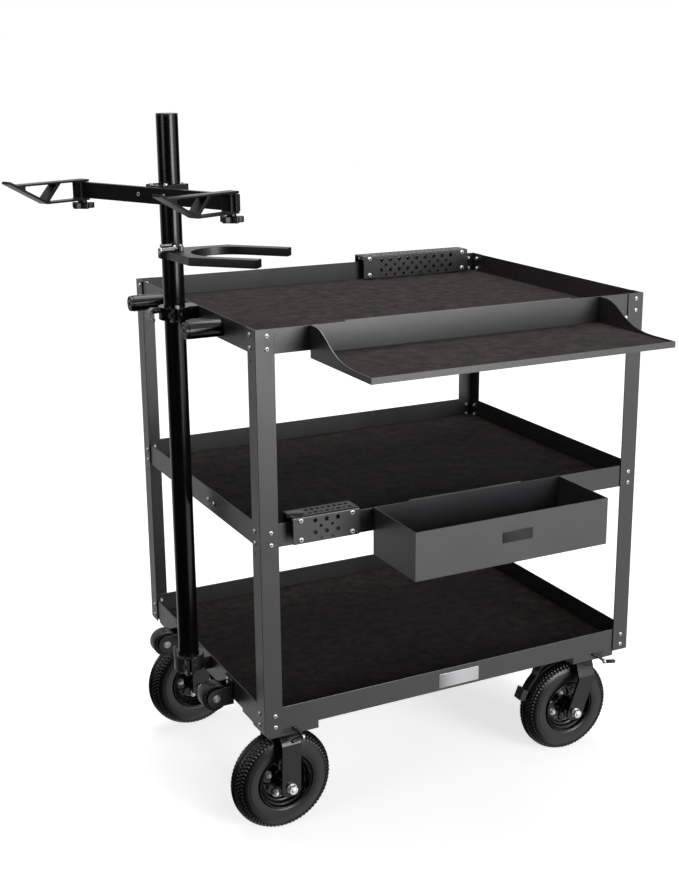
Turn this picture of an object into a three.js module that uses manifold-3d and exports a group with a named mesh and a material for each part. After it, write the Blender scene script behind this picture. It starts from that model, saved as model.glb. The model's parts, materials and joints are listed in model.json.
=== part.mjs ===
// Camera cart: three sheet-steel trays on four angle posts, four swivel casters with air tyres,
// and the accessories that hang on it. Millimetres, +Z up, +X along the front, +Y to the back.
// Heights count from the floor and places from the middle of the frame.
import * as THREE from "three";
import { mergeVertices } from "three/addons/utils/BufferGeometryUtils.js";
import Module from "manifold-3d";

const wasm = await Module();
wasm.setup();

// Frame
const cartWidth = 914;
const cartDepth = 705;
const postFoot = 260;
const postHeight = 838;
const postFlange = 40;
const postSheet = 2.5;
const seatGap = 0.3;
const cutOverrun = 5;
const screwPitch = 25;
const screwInset = 25;
const screwDrop = 13;
const screwHoleRadius = 2.2;
const spareHoleStep = 2;
const mergeDistance = 0.0001;

// Trays and their felt
const traySheet = 2;
const trayWall = 49;
const middleTrayHeight = 449;
const bottomTrayHeight = 54;
const feltThickness = 3;
const feltMargin = 0.6;

// Caster pads
const casterInsetLeft = 68.3;
const casterInsetRight = 89.5;
const casterInsetFront = 80;
const casterInsetBack = 90;
const padWidth = 112;
const padDepth = 144;
const padDrop = 14.5;
const padSheet = 4;

// Caster forks
const wheelRadius = 112;
const straightTrail = 2;
const sweptTrail = 29;
const crownDrop = 22;
const crownSheet = 5;
const crownHalfWidth = 34;
const crownFront = 36;
const crownRear = 50;
const raceRadius = 36;
const legOuter = 56;
const legSheet = 6;
const legHalfWidth = 22;
const straightShoulderDrop = 52;
const sweptShoulderDrop = 66;
const shoulderBand = 6;
const flareTuck = 6;
const axleRadius = 6;
const axleReach = 71;
const nutRadius = 11;
const nutThickness = 9;
const spacerRadius = 10;
const frontLeftTurn = 181;
const frontRightTurn = 178;
const backLeftTurn = 182;
const backRightTurn = 180;

// Wheels
const hubRadius = 16;
const hubHalfLength = 46;
const discHalf = 3;
const rimHalfWidth = 27;
const rimLipRadius = 59;
const rimLip = 2.5;
const beadHalfWidth = 22;
const beadRadius = 52.5;
const wellShoulder = 14;
const wellHalfWidth = 9;
const wellRadius = 46;
const rimSheet = 2.5;
const tyreHalfWidth = 28;
const tyreBellyRadius = 84;
const tyreShoulderHalf = 20;
const tyreShoulderRadius = 105;
const treadHalf = 10;
const beadGap = 0.8;
const tyreWall = 5;
const tyreSegments = 24;
const rimSegments = 20;

// Brake pedals
const pedalArmHalf = 12;
const pedalArmSheet = 4;
const pedalTyreGap = 5.5;
const pedalBarrel = 6;
const pedalPin = 3;
const pedalEar = 4;
const pedalHingeOut = 8;
const pedalHingeDrop = 25;
const pedalPadHalf = 17;
const pedalPadSheet = 18;
const pedalBendOut = 9.5;
const pedalBendTurn = 56;
const pedalArcTopTurn = 49;
const pedalArcFootTurn = 17;
const pedalPadTopTurn = 29;
const pedalArcSteps = 6;

// Swivel lock levers
const lockDrop = 0.5;
const lockHubRadius = 4.5;
const lockHubThickness = 5;
const lockPin = 2;
const lockBallOutLeft = 13;
const lockBallOutRight = 22;
const lockBallDrop = 16.5;
const lockBallForward = 12.5;
const lockBallRadius = 5;
const lockArmRadius = 3;
const lockGripBack = 31;
const lockGripOn = 23.5;
const lockGripRadius = 4.4;
const lockGripForward = 10;

// Push handles
const handleRadius = 17.7;
const handleReach = 77.3;
const handleSpread = 172;
const handleDrop = 24.7;
const handleCap = 6;
const handleCapStep = 1;
const handleSocket = 5;
const handleSocketDepth = 4;

// Pole with its clamp and socket
const poleOut = 42;
const poleY = -28;
const poleRadius = 22;
const poleWall = 2.5;
const poleFoot = 34;
const poleLength = 1191;
const poleCap = 4;
const collarRadius = 33;
const socketDrop = 5;
const socketTop = 64;
const socketArmWidth = 40;
const socketArmBottom = 24;
const socketArmTop = 54;
const socketTabHalf = 6;
const socketTabSheet = 4;
const socketTabRise = 20;
const clampBottom = 811;
const clampTop = 838;
const collarSplit = 5;
const collarSplitSide = 12;
const collarLugHalf = 9;
const collarLugReach = 10;
const clampBossRadius = 6;
const clampBossReach = 3;
const knobDrop = 6.5;
const knobRadius = 6.5;
const knobLength = 13;
const knobStem = 3;
const knobStemReach = 6;
const hookSheet = 3;
const hookWidth = 8;
const hookRadius = 12;
const hookInset = 2;
const hookSink = 8;
const hookSteps = 6;

// Lift rollers
const rollerRadius = 29.5;
const rollerWidth = 34;
const rollerOut = 36.5;
const rollerSpread = 157;
const rollerHeight = 15.5;
const rollerPin = 5;
const rollerGap = 0.5;
const rollerEar = 4;
const rollerEarRadius = 20;
const rollerBase = 4;
const rollerBaseTop = 50;
const rollerBaseBottom = 8;

// Fork holder on the pole
const forkRise = 116.5;
const forkThickness = 17;
const forkTurn = -44;
const forkThroat = 48;
const forkInner = 75;
const forkOuter = 100;
const forkReach = 223;
const forkShoulder = 80;
const forkNeckU = 12;
const forkNeckV = 38;
const forkRing = 29;
const forkCorner = 3;
const leverOut = 38;
const leverSide = 4;
const leverPin = 3;
const leverHub = 6.5;
const leverHeight = 12;
const leverLength = 44;
const leverRadius = 4;
const leverBall = 5.5;

// Cross bar and truss arms
const barTurn = 205;
const barBack = 40;
const barFront = 52;
const barRise = 95.5;
const barHeight = 33;
const barHalfLength = 230;
const blockBack = 27;
const blockHalf = 26;
const blockRise = 2;
const cheekSheet = 4;
const cheekInset = 3;
const armSpread = 211.5;
const armWidth = 26;
const armBack = 36.5;
const armSheet = 5;
const armTopEnd = 221;
const armTipX = 238.5;
const armTipRise = 13;
const armTipThickness = 5;
const armVertex = 148;
const chordSheet = 4;
const windowStart = 60;
const windowTopEnd = 111;
const windowBottomEnd = 144;
const gussetStart = 121;
const gussetEnd = 200;
const gussetEndHeight = 7;
const gussetFoot = 152;
const gussetFootHeight = 8;
const armScrewRadius = 3.5;
const armScrewGap = 1;
const starRadius = 24;
const starWaist = 15;
const starThickness = 12;
const starGap = 5;
const starNeckRadius = 9;
const starLobes = 5;

// Keyboard shelf
const shelfHalf = 341.5;
const shelfFloor = 781;
const shelfReach = 251;
const shelfSheet = 2;
const shelfRim = 5;
const shelfSkirt = 7.5;
const shelfHookHalf = 266;
const hookLip = 10;
const cheekTopY = 18;
const cheekShoulderY = 75;
const cheekWaistY = 80;
const cheekFootY = 185;
const cheekSteps = 12;

// Bin
const binLeft = -206.5;
const binRight = 251;
const binReach = 176;
const binBottom = 349;
const binTop = 450;
const binSheet = 2;
const binHookLeft = -122;
const binHookRight = 152;

// Perforated saddle brackets
const bracketSheet = 3;
const bracketHalfDepth = 25;
const bracketDrop = 41;
const bracketRise = 15;
const bracketBlock = 16;
const bracketBlockInset = 18;
const bracketHole = 4.5;
const bracketSmallHole = 3.2;
const shortBracketInset = 134.5;
const shortBracketLength = 145;
const shortBracketPitch = 25;
const longBracketInset = 187;
const longBracketLength = 300;
const longBracketPitch = 25;
const bracketRowTop = 12;
const bracketRowStep = 12.5;
const bracketTopRow = 10;
const bracketLargeRows = [0, 2];
const bracketSmallRows = [1, 3];
const bracketRounding = 0.000001;

// Sides of the round shapes
const poleSides = 28;
const raceSides = 16;
const knobSides = 14;
const pinSides = 10;
const holeSides = 8;
const smallHoleSides = 6;
const hexagonSides = 6;
const throatSteps = 18;
const starSteps = 6;
const ballRows = 6;

// Finishes
const powderCoat = new THREE.MeshStandardMaterial({ color: 0x353231, roughness: 0.55, metalness: 0.2 });
const binCoat = new THREE.MeshStandardMaterial({ color: 0x45464a, roughness: 0.5, metalness: 0.2 });
const feltCloth = new THREE.MeshStandardMaterial({ color: 0x24211f, roughness: 0.95, metalness: 0 });
const glossBlack = new THREE.MeshStandardMaterial({ color: 0x0e0e0e, roughness: 0.25, metalness: 0.3 });
const tyreRubber = new THREE.MeshStandardMaterial({ color: 0x151414, roughness: 0.75, metalness: 0 });
const zincSteel = new THREE.MeshStandardMaterial({ color: 0xb9bbbd, roughness: 0.35, metalness: 1 });
const blackPlastic = new THREE.MeshStandardMaterial({ color: 0x111111, roughness: 0.45, metalness: 0 });

// Places worked out from the sizes above
const halfWidth = cartWidth / 2;
const poleX = -halfWidth - poleOut;
const rollerX = -halfWidth - rollerOut;
const shortBracketX = -halfWidth + shortBracketInset;
const longBracketX = halfWidth - longBracketInset;
const halfDepth = cartDepth / 2;
const postTop = postFoot + postHeight;
const trayOuterX = halfWidth - postSheet - seatGap;
const trayOuterY = halfDepth - postSheet - seatGap;
const trayInnerX = trayOuterX - traySheet;
const trayInnerY = trayOuterY - traySheet;
const trayTops = {
  top: postTop,
  middle: postFoot + middleTrayHeight,
  bottom: postFoot + bottomTrayHeight,
};
const wallFace = trayOuterX + seatGap;
const padFloor = postFoot - padDrop;
const padTop = trayTops.bottom - trayWall - seatGap;
const crownTop = postFoot - crownDrop;
const forkTop = clampTop + forkRise;
const barBottom = forkTop + barRise;
const barTop = barBottom + barHeight;
const collarInner = poleRadius + poleWall;
const fullTurn = Math.PI * 2;
const rightAngle = Math.PI / 2;
const degree = Math.PI / 180;

// One closed mesh as a solid that can be joined or cut.
function solidOf(geometry) {
  const plain = geometry.clone();
  plain.deleteAttribute("normal");
  plain.deleteAttribute("uv");
  const merged = mergeVertices(plain, mergeDistance);
  return new wasm.Manifold(
    new wasm.Mesh({
      numProp: 3,
      vertProperties: new Float32Array(merged.attributes.position.array),
      triVerts: new Uint32Array(merged.index.array),
    }),
  );
}

function geometryOf(solid) {
  const mesh = solid.getMesh();
  const geometry = new THREE.BufferGeometry();
  geometry.setAttribute("position", new THREE.BufferAttribute(mesh.vertProperties, 3));
  geometry.setIndex(new THREE.BufferAttribute(mesh.triVerts, 1));
  const flat = geometry.toNonIndexed();
  flat.computeVertexNormals();
  return flat;
}

const joined = (...pieces) => geometryOf(pieces.map(solidOf).reduce((all, next) => all.add(next)));

const cutBy = (piece, ...tools) =>
  geometryOf(tools.map(solidOf).reduce((rest, tool) => rest.subtract(tool), solidOf(piece)));

// A box between two corners.
function boxBetween(low, high) {
  const size = high.map((end, i) => end - low[i]);
  const geometry = new THREE.BoxGeometry(...size);
  return geometry.translate(...low.map((start, i) => start + size[i] / 2));
}

// A flat outline in X and Y, raised from one height to another.
function raised(points, from, to) {
  const shape = new THREE.Shape(points.map(([x, y]) => new THREE.Vector2(x, y)));
  const geometry = new THREE.ExtrudeGeometry(shape, { depth: to - from, bevelEnabled: false, steps: 1 });
  return geometry.translate(0, 0, from);
}

// An outline in X and Z, spread along Y between two places.
const spreadY = (points, from, to) => facingOut(raised(points, -to, -from).rotateX(rightAngle));

// An outline in Y and Z, spread along X between two places.
const spreadX = (points, from, to) =>
  facingOut(raised(points, from, to).rotateX(rightAngle).rotateZ(rightAngle));

// A round bar along Z, X or Y between two places.
const barZ = (radius, from, to, sides) =>
  new THREE.CylinderGeometry(radius, radius, to - from, sides)
    .rotateX(rightAngle)
    .translate(0, 0, (from + to) / 2);
const barX = (radius, from, to, sides) => barZ(radius, from, to, sides).rotateY(rightAngle);
const barY = (radius, from, to, sides) => barZ(radius, -to, -from, sides).rotateX(rightAngle);

// A profile of [radius, place along the axis], turned round Z.
const turned = (profile, segments) =>
  new THREE.LatheGeometry(
    profile.map(([r, z]) => new THREE.Vector2(r, z)),
    segments,
  ).rotateX(rightAngle);

// Points on an arc round a centre.
function arcPoints(centreX, centreY, radius, from, to, steps) {
  return Array.from({ length: steps + 1 }, (_, i) => {
    const angle = from + ((to - from) * i) / steps;
    return [centreX + radius * Math.cos(angle), centreY + radius * Math.sin(angle)];
  });
}

// A block between two quadrilaterals, whose corners run the same way round.
function blockBetween(quadA, quadB) {
  const points = [...quadA, ...quadB];
  const faces = [
    [0, 1, 2, 3],
    [7, 6, 5, 4],
    [0, 4, 5, 1],
    [1, 5, 6, 2],
    [2, 6, 7, 3],
    [3, 7, 4, 0],
  ];
  const geometry = new THREE.BufferGeometry();
  geometry.setAttribute("position", new THREE.Float32BufferAttribute(points.flat(), 3));
  geometry.setIndex(faces.flatMap(([a, b, c, d]) => [a, b, c, a, c, d]));
  return geometry;
}

const cart = new THREE.Group();

function addMesh(parent, name, geometry, material) {
  const mesh = new THREE.Mesh(geometry, material);
  mesh.name = name;
  parent.add(mesh);
  return mesh;
}

// The casters on the left stand on straight forks; those on the right trail on swept ones with brakes.
const casterLeft = -halfWidth + casterInsetLeft;
const casterRight = halfWidth - casterInsetRight;
const casterFront = -halfDepth + casterInsetFront;
const casterBack = halfDepth - casterInsetBack;
const corners = [
  { name: "front_left", side: -1, end: -1, x: casterLeft, y: casterFront, turn: frontLeftTurn },
  { name: "front_right", side: 1, end: -1, x: casterRight, y: casterFront, turn: frontRightTurn },
  { name: "back_left", side: -1, end: 1, x: casterLeft, y: casterBack, turn: backLeftTurn },
  { name: "back_right", side: 1, end: 1, x: casterRight, y: casterBack, turn: backRightTurn },
];

// Corner post: a folded angle with spare holes in its side flange, built with its corner at the origin.
function postGeometry() {
  const angle = raised(
    [
      [0, 0],
      [postFlange, 0],
      [postFlange, postSheet],
      [postSheet, postSheet],
      [postSheet, postFlange],
      [0, postFlange],
    ],
    postFoot,
    postTop,
  );
  const holes = [trayTops.top, trayTops.middle].map((trayTop) => {
    const height = trayTop - screwDrop - spareHoleStep * screwPitch;
    return barX(screwHoleRadius, -cutOverrun, cutOverrun, holeSides).translate(0, screwInset, height);
  });
  return cutBy(angle, ...holes);
}

function addPosts() {
  const geometry = postGeometry();
  for (const { name, side, end } of corners) {
    const post = addMesh(cart, "post_" + name, geometry, powderCoat);
    post.position.set(side * halfWidth, end * halfDepth, 0);
    post.scale.set(-side, -end, 1);
  }
}

// Tray: a folded pan with its felt on the floor.
function addTray(name) {
  const top = trayTops[name];
  const bottom = top - trayWall;
  const pan = cutBy(
    boxBetween([-trayOuterX, -trayOuterY, bottom], [trayOuterX, trayOuterY, top]),
    boxBetween([-trayInnerX, -trayInnerY, bottom + traySheet], [trayInnerX, trayInnerY, top + cutOverrun]),
  );
  addMesh(cart, name + "_tray", pan, powderCoat);
  const feltX = trayInnerX - feltMargin;
  const feltY = trayInnerY - feltMargin;
  const feltBottom = bottom + traySheet + seatGap;
  const felt = boxBetween([-feltX, -feltY, feltBottom], [feltX, feltY, feltBottom + feltThickness]);
  addMesh(cart, name + "_mat", felt, feltCloth);
}

// Caster pad: a shallow pan under the tray, with the pin of the lock lever on its outer face.
function padGeometry() {
  const halfX = padWidth / 2;
  const halfY = padDepth / 2;
  const pan = cutBy(
    boxBetween([-halfX, -halfY, padFloor], [halfX, halfY, padTop]),
    boxBetween(
      [-halfX + padSheet, -halfY + padSheet, padFloor + padSheet],
      [halfX - padSheet, halfY - padSheet, padTop + cutOverrun],
    ),
  );
  const pin = barY(lockPin, -lockHubThickness - seatGap, padSheet, holeSides);
  pin.translate(0, -halfY, postFoot - lockDrop);
  return joined(pan, pin);
}

// Swivel lock lever: hub, arm, ball and grip, hung on the pad's pin. The grip of a left one points
// back under the pin and that of a right one on from the ball.
function lockGeometry(ballOut, gripOut) {
  const face = -padDepth / 2 - seatGap;
  const middle = face - lockHubThickness / 2;
  const hubZ = postFoot - lockDrop;
  const start = new THREE.Vector3(0, middle, hubZ);
  const ball = new THREE.Vector3(ballOut, middle - lockBallForward, hubZ - lockBallDrop);
  const end = ball.clone().add(new THREE.Vector3(gripOut, -lockGripForward, 0));
  const hub = barY(lockHubRadius, face - lockHubThickness, face, pinSides).translate(0, 0, hubZ);
  const boreStart = face - lockHubThickness - cutOverrun;
  const bore = barY(lockPin + seatGap, boreStart, face + cutOverrun, holeSides).translate(0, 0, hubZ);
  const knuckle = ballAt(lockBallRadius, ball.x, ball.y, ball.z);
  const arm = rodBetween(start, ball, lockArmRadius, smallHoleSides);
  const grip = rodBetween(ball, end, lockGripRadius, holeSides);
  return cutBy(joined(hub, arm, knuckle, grip), bore);
}

const ballAt = (radius, x, y, z) =>
  new THREE.SphereGeometry(radius, holeSides, ballRows).translate(x, y, z);

// A round rod between two points.
function rodBetween(from, to, radius, sides) {
  const along = to.clone().sub(from);
  const upright = new THREE.Vector3(0, 0, 1);
  const turn = new THREE.Quaternion().setFromUnitVectors(upright, along.clone().normalize());
  const place = new THREE.Matrix4().compose(from, turn, new THREE.Vector3(1, 1, 1));
  return barZ(radius, 0, along.length(), sides).applyMatrix4(place);
}

// Caster fork: crown plate with its race and two flared legs, and on a braked one the ears of the
// pedal. Built with the king pin on Z and the wheel trailing along +X.
function forkGeometry(trail, shoulderDrop, braked) {
  const shoulder = postFoot - shoulderDrop;
  const crown = boxBetween(
    [-crownFront, -crownHalfWidth, crownTop - crownSheet],
    [crownRear, crownHalfWidth, crownTop],
  );
  const race = barZ(raceRadius, crownTop - crownSheet, padFloor - seatGap, raceSides);
  const tuck = crownHalfWidth - flareTuck;
  const legInner = legOuter - legSheet;
  const flareProfile = [
    [tuck, crownTop - crownSheet],
    [crownHalfWidth - crownSheet / 2, crownTop - crownSheet],
    [legInner, shoulder],
    [legInner, shoulder - shoulderBand],
    [legOuter, shoulder - shoulderBand],
    [legOuter, shoulder + crownSheet / 2],
    [crownHalfWidth, crownTop],
    [tuck, crownTop],
  ];
  const legTop = shoulder - shoulderBand / 2;
  const pieces = [crown, race];
  for (const hand of [-1, 1]) {
    const profile = flareProfile.map(([w, z]) => [hand * w, z]);
    pieces.push(
      spreadX(hand > 0 ? profile : profile.reverse(), -legHalfWidth, legHalfWidth),
      legGeometry(hand, legInner, legTop, trail),
      barY(legHalfWidth, legInner, legOuter, knobSides).translate(trail, 0, wheelRadius).scale(1, hand, 1),
    );
  }
  if (braked) pieces.push(...pedalEars());
  const boreReach = legOuter + cutOverrun;
  const bore = barY(axleRadius + seatGap, -boreReach, boreReach, pinSides).translate(trail, 0, wheelRadius);
  return cutBy(joined(...pieces.map(facingOut)), bore);
}

// Two ears behind the crown, with the pin that the pedal turns on.
function pedalEars() {
  const hingeX = crownRear + pedalHingeOut;
  const hingeZ = postFoot - pedalHingeDrop;
  const earInner = pedalArmHalf + rollerGap;
  const pinReach = earInner + pedalEar / 2;
  const ears = [-1, 1].flatMap((hand) => {
    const low = Math.min(hand * earInner, hand * (earInner + pedalEar));
    return [
      boxBetween(
        [crownRear - crownSheet, low, hingeZ - pedalBarrel],
        [hingeX, low + pedalEar, hingeZ + pedalBarrel],
      ),
      barY(pedalBarrel, low, low + pedalEar, holeSides).translate(hingeX, 0, hingeZ),
    ];
  });
  return [...ears, barY(pedalPin, -pinReach, pinReach, holeSides).translate(hingeX, 0, hingeZ)];
}

// A mirrored piece has its faces turned round again.
function facingOut(geometry) {
  const solid = geometry.index ? geometry.toNonIndexed() : geometry.clone();
  const p = solid.getAttribute("position");
  let volume = 0;
  const [a, b, c] = [new THREE.Vector3(), new THREE.Vector3(), new THREE.Vector3()];
  for (let i = 0; i < p.count; i += 3) {
    a.fromBufferAttribute(p, i);
    b.fromBufferAttribute(p, i + 1);
    c.fromBufferAttribute(p, i + 2);
    volume += a.dot(b.cross(c));
  }
  if (volume > 0) return solid;
  for (let i = 0; i < p.count; i += 3) {
    b.fromBufferAttribute(p, i + 1);
    c.fromBufferAttribute(p, i + 2);
    p.setXYZ(i + 1, c.x, c.y, c.z);
    p.setXYZ(i + 2, b.x, b.y, b.z);
  }
  return solid;
}

// One leg, slanting back from the flare to the axle.
function legGeometry(hand, inner, top, trail) {
  const corner = (x, w, z) => [x, hand * w, z];
  const ring = (centre, z) => [
    corner(centre - legHalfWidth, inner, z),
    corner(centre + legHalfWidth, inner, z),
    corner(centre + legHalfWidth, legOuter, z),
    corner(centre - legHalfWidth, legOuter, z),
  ];
  return blockBetween(ring(0, top), ring(trail, wheelRadius));
}

// Axle: a bolt with a head, a nut and two spacers, along Y with its middle at the origin.
function axleGeometry() {
  const nutStart = legOuter + seatGap;
  const spacerStart = hubHalfLength + seatGap;
  const spacerEnd = legOuter - legSheet - seatGap;
  return joined(
    barY(axleRadius, -axleReach, axleReach, pinSides),
    barY(nutRadius, nutStart, nutStart + nutThickness, hexagonSides),
    barY(nutRadius, -nutStart - nutThickness, -nutStart, hexagonSides),
    barY(spacerRadius, spacerStart, spacerEnd, pinSides),
    barY(spacerRadius, -spacerEnd, -spacerStart, pinSides),
  );
}

// Rim: two pressed halves with a well between the bead seats, a disc and the hub tube.
function rimProfile() {
  const half = [
    [wellRadius, wellHalfWidth],
    [beadRadius, wellShoulder],
    [beadRadius, beadHalfWidth],
    [rimLipRadius, rimHalfWidth - rimLip],
    [rimLipRadius, rimHalfWidth],
    [beadRadius - rimSheet, beadHalfWidth + rimLip],
    [wellRadius - rimSheet, wellHalfWidth - rimSheet / 2],
    [hubRadius, discHalf],
    [hubRadius, hubHalfLength],
    [axleRadius + seatGap, hubHalfLength],
  ];
  return closedProfile(half);
}

// Tyre: a casing open towards the rim, with its beads on the seats.
function tyreProfile() {
  const seat = beadRadius + seatGap;
  const lip = rimLipRadius + seatGap;
  const half = [
    [wheelRadius, treadHalf],
    [tyreShoulderRadius, tyreShoulderHalf],
    [tyreBellyRadius, tyreHalfWidth],
    [lip, rimHalfWidth - rimSheet / 2],
    [lip, rimHalfWidth - rimLip - seatGap],
    [seat, beadHalfWidth - beadGap],
    [seat, wellShoulder + seatGap],
    [tyreBellyRadius, tyreHalfWidth - tyreWall],
    [wheelRadius - tyreWall, treadHalf],
  ];
  return closedProfile(half);
}

// The whole closed profile from its half on one side of the wheel's middle.
function closedProfile(half) {
  const mirrored = half.map(([r, w]) => [r, -w]);
  return [...half, ...mirrored.reverse(), half[0]];
}

// Turned with a flat facet below, so that the wheel stands on it.
const wheelTurned = (profile, segments) =>
  facingOut(turned(profile, segments).rotateZ(fullTurn / segments / 2)).rotateX(rightAngle);

// Facets stand inside the circle, so the tyre's profile grows by this to keep its standing height.
const facetGrowth = 1 / Math.cos(fullTurn / tyreSegments / 2);

// Brake pedal: an arm from its barrel on the crown, round the tread at a small gap, to the foot block.
function pedalGeometry(trail) {
  const hingeX = crownRear + pedalHingeOut;
  const hingeZ = postFoot - pedalHingeDrop;
  const armRadius = wheelRadius + pedalTyreGap + pedalArmSheet / 2;
  const padRadius = armRadius - pedalArmSheet / 2 + pedalPadSheet / 2;
  const round = (radius, fromTurn, toTurn, steps) =>
    arcPoints(trail, wheelRadius, radius, fromTurn * degree, toTurn * degree, steps);
  const bend = round(armRadius + pedalBendOut, pedalBendTurn, pedalBendTurn, 1)[0];
  const sweep = round(armRadius, pedalArcTopTurn, pedalArcFootTurn, pedalArcSteps);
  const line = [[hingeX, hingeZ], bend, ...sweep];
  const padLine = round(padRadius, pedalPadTopTurn, pedalArcFootTurn, 1);
  const arm = spreadY(stripOutline(line, pedalArmSheet), -pedalArmHalf, pedalArmHalf);
  const pad = spreadY(stripOutline(padLine, pedalPadSheet), -pedalPadHalf, pedalPadHalf);
  const barrel = barY(pedalBarrel, -pedalArmHalf, pedalArmHalf, pinSides).translate(hingeX, 0, hingeZ);
  const bore = barY(pedalPin + seatGap, -pedalPadHalf, pedalPadHalf, holeSides);
  bore.translate(hingeX, 0, hingeZ);
  return cutBy(joined(...[arm, pad, barrel].map(facingOut)), bore);
}

// The outline of a strip of one thickness along a line of points.
function stripOutline(line, thickness) {
  const points = line.map(([x, y]) => new THREE.Vector2(x, y));
  const side = (sign) =>
    points.map((point, i) => {
      const before = points[Math.max(i - 1, 0)];
      const after = points[Math.min(i + 1, points.length - 1)];
      const along = after.clone().sub(before).normalize();
      const offset = (sign * thickness) / 2;
      return [point.x - along.y * offset, point.y + along.x * offset];
    });
  return [...side(-1), ...side(1).reverse()];
}

function addCasters() {
  const axle = axleGeometry();
  const rim = wheelTurned(rimProfile(), rimSegments);
  const tyre = wheelTurned(
    tyreProfile().map(([r, w]) => [r * facetGrowth, w]),
    tyreSegments,
  );
  const pad = padGeometry();
  const leftLock = lockGeometry(lockBallOutLeft, -lockGripBack);
  const rightLock = lockGeometry(lockBallOutRight, lockGripOn);
  for (const { name, side, end, x, y, turn } of corners) {
    const braked = side > 0;
    const trail = braked ? sweptTrail : straightTrail;
    const seat = new THREE.Group();
    seat.position.set(x, y, 0);
    cart.add(seat);
    const fixed = new THREE.Group();
    fixed.scale.set(1, -end, 1);
    seat.add(fixed);
    addMesh(fixed, "caster_pad_" + name, pad, powderCoat);
    addMesh(fixed, "swivel_lock_" + name, side > 0 ? rightLock : leftLock, blackPlastic);
    const swivel = new THREE.Group();
    swivel.rotation.z = turn * degree;
    seat.add(swivel);
    const fork = forkGeometry(trail, braked ? sweptShoulderDrop : straightShoulderDrop, braked);
    addMesh(swivel, "caster_fork_" + name, fork, glossBlack);
    if (braked) addMesh(swivel, "brake_pedal_" + name, pedalGeometry(trail), blackPlastic);
    const wheel = new THREE.Group();
    wheel.position.set(trail, 0, wheelRadius);
    swivel.add(wheel);
    addMesh(wheel, "caster_axle_" + name, axle, zincSteel);
    addMesh(wheel, "wheel_rim_" + name, rim, glossBlack);
    addMesh(wheel, "wheel_tyre_" + name, tyre, tyreRubber);
  }
}

// Push handle: a grip with a stepped cap and a hexagon socket in its end.
function addHandles() {
  const start = -wallFace - handleReach;
  const grip = joined(
    barX(handleRadius, start + handleCap, -wallFace, rimSegments),
    barX(handleRadius - handleCapStep, start, start + handleCap + cutOverrun, rimSegments),
  );
  const socket = barX(handleSocket, start - cutOverrun, start + handleSocketDepth, hexagonSides);
  const handle = cutBy(grip, socket);
  for (const [name, end] of [
    ["front", -1],
    ["back", 1],
  ]) {
    const mesh = addMesh(cart, "handle_" + name, handle, glossBlack);
    mesh.position.set(0, end * handleSpread, trayTops.top - handleDrop);
  }
}

// Pole: a tube closed by its cap, standing in the socket.
function poleGeometry() {
  const foot = postFoot + poleFoot;
  const tip = foot + poleLength;
  return cutBy(
    barZ(poleRadius, foot, tip, poleSides),
    barZ(poleRadius - poleWall, foot - cutOverrun, tip - poleCap, poleSides),
  );
}

const poleBore = (from, to) =>
  barZ(poleRadius + seatGap, from - cutOverrun, to + cutOverrun, poleSides);

// The collar that both pole holders share: a ring with its arm to the tray wall and a lug at its front.
function collarPieces(low, high, armLow, armHigh) {
  const armEnd = -wallFace - poleX;
  const half = socketArmWidth / 2;
  return [
    barZ(collarRadius, low, high, poleSides),
    boxBetween([collarInner, -half, armLow], [armEnd, half, armHigh]),
    boxBetween(
      [-collarSplitSide - collarLugHalf, -collarRadius - collarLugReach, low],
      [-collarSplitSide + collarLugHalf, -collarInner, high],
    ),
  ];
}

// Lower socket: a collar closed by its floor, with an upright tab, bolted to the bottom tray.
function socketGeometry() {
  const floorTop = postFoot + poleFoot - seatGap;
  const cupBottom = floorTop - socketDrop;
  const cupTop = postFoot + socketTop;
  return cutBy(
    joined(
      ...collarPieces(cupBottom, cupTop, postFoot + socketArmBottom, postFoot + socketArmTop),
      boxBetween(
        [-collarRadius, -socketTabHalf, cupTop - socketTabRise],
        [-collarRadius + socketTabSheet, socketTabHalf, cupTop + socketTabRise],
      ),
    ),
    barZ(poleRadius + seatGap, floorTop, cupTop + cutOverrun, poleSides),
  );
}

// Upper clamp: a split collar with a boss for its knob, bolted to the top tray.
function clampGeometry() {
  const low = postFoot + clampBottom;
  const high = postFoot + clampTop;
  const bossStart = -collarRadius - clampBossReach;
  const knobHeight = high - knobDrop;
  return cutBy(
    joined(
      ...collarPieces(low, high, low, high),
      barX(clampBossRadius, bossStart, -collarInner, knobSides).translate(0, 0, knobHeight),
    ),
    poleBore(low, high),
    boxBetween(
      [-collarSplitSide - collarSplit / 2, -collarRadius - collarLugReach - cutOverrun, low - cutOverrun],
      [-collarSplitSide + collarSplit / 2, 0, high + cutOverrun],
    ),
    barX(knobStem + seatGap, bossStart - cutOverrun, 0, pinSides).translate(0, 0, knobHeight),
  );
}

// Clamp knob: a round knob with its stem in the boss and a hook-shaped lever below.
function clampKnobGeometry() {
  const face = -collarRadius - clampBossReach - seatGap;
  const outer = face - knobLength;
  const halfTurn = rightAngle + Math.PI;
  const hook = arcPoints(outer + hookInset, -hookSink, hookRadius, rightAngle, halfTurn, hookSteps);
  return joined(
    ...[
      barX(knobRadius, outer, face, raceSides),
      barX(knobStem, face - hookSheet, face + knobStemReach, pinSides),
      spreadY(stripOutline(hook, hookSheet), -hookWidth / 2, hookWidth / 2),
    ].map(facingOut),
  );
}

function addPole() {
  const stand = new THREE.Group();
  stand.position.set(poleX, poleY, 0);
  cart.add(stand);
  addMesh(stand, "pole", poleGeometry(), glossBlack);
  addMesh(stand, "pole_socket", socketGeometry(), powderCoat);
  addMesh(stand, "pole_clamp", clampGeometry(), glossBlack);
  const knob = addMesh(stand, "clamp_knob", clampKnobGeometry(), blackPlastic);
  knob.position.z = postFoot + clampTop - knobDrop;
}

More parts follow.
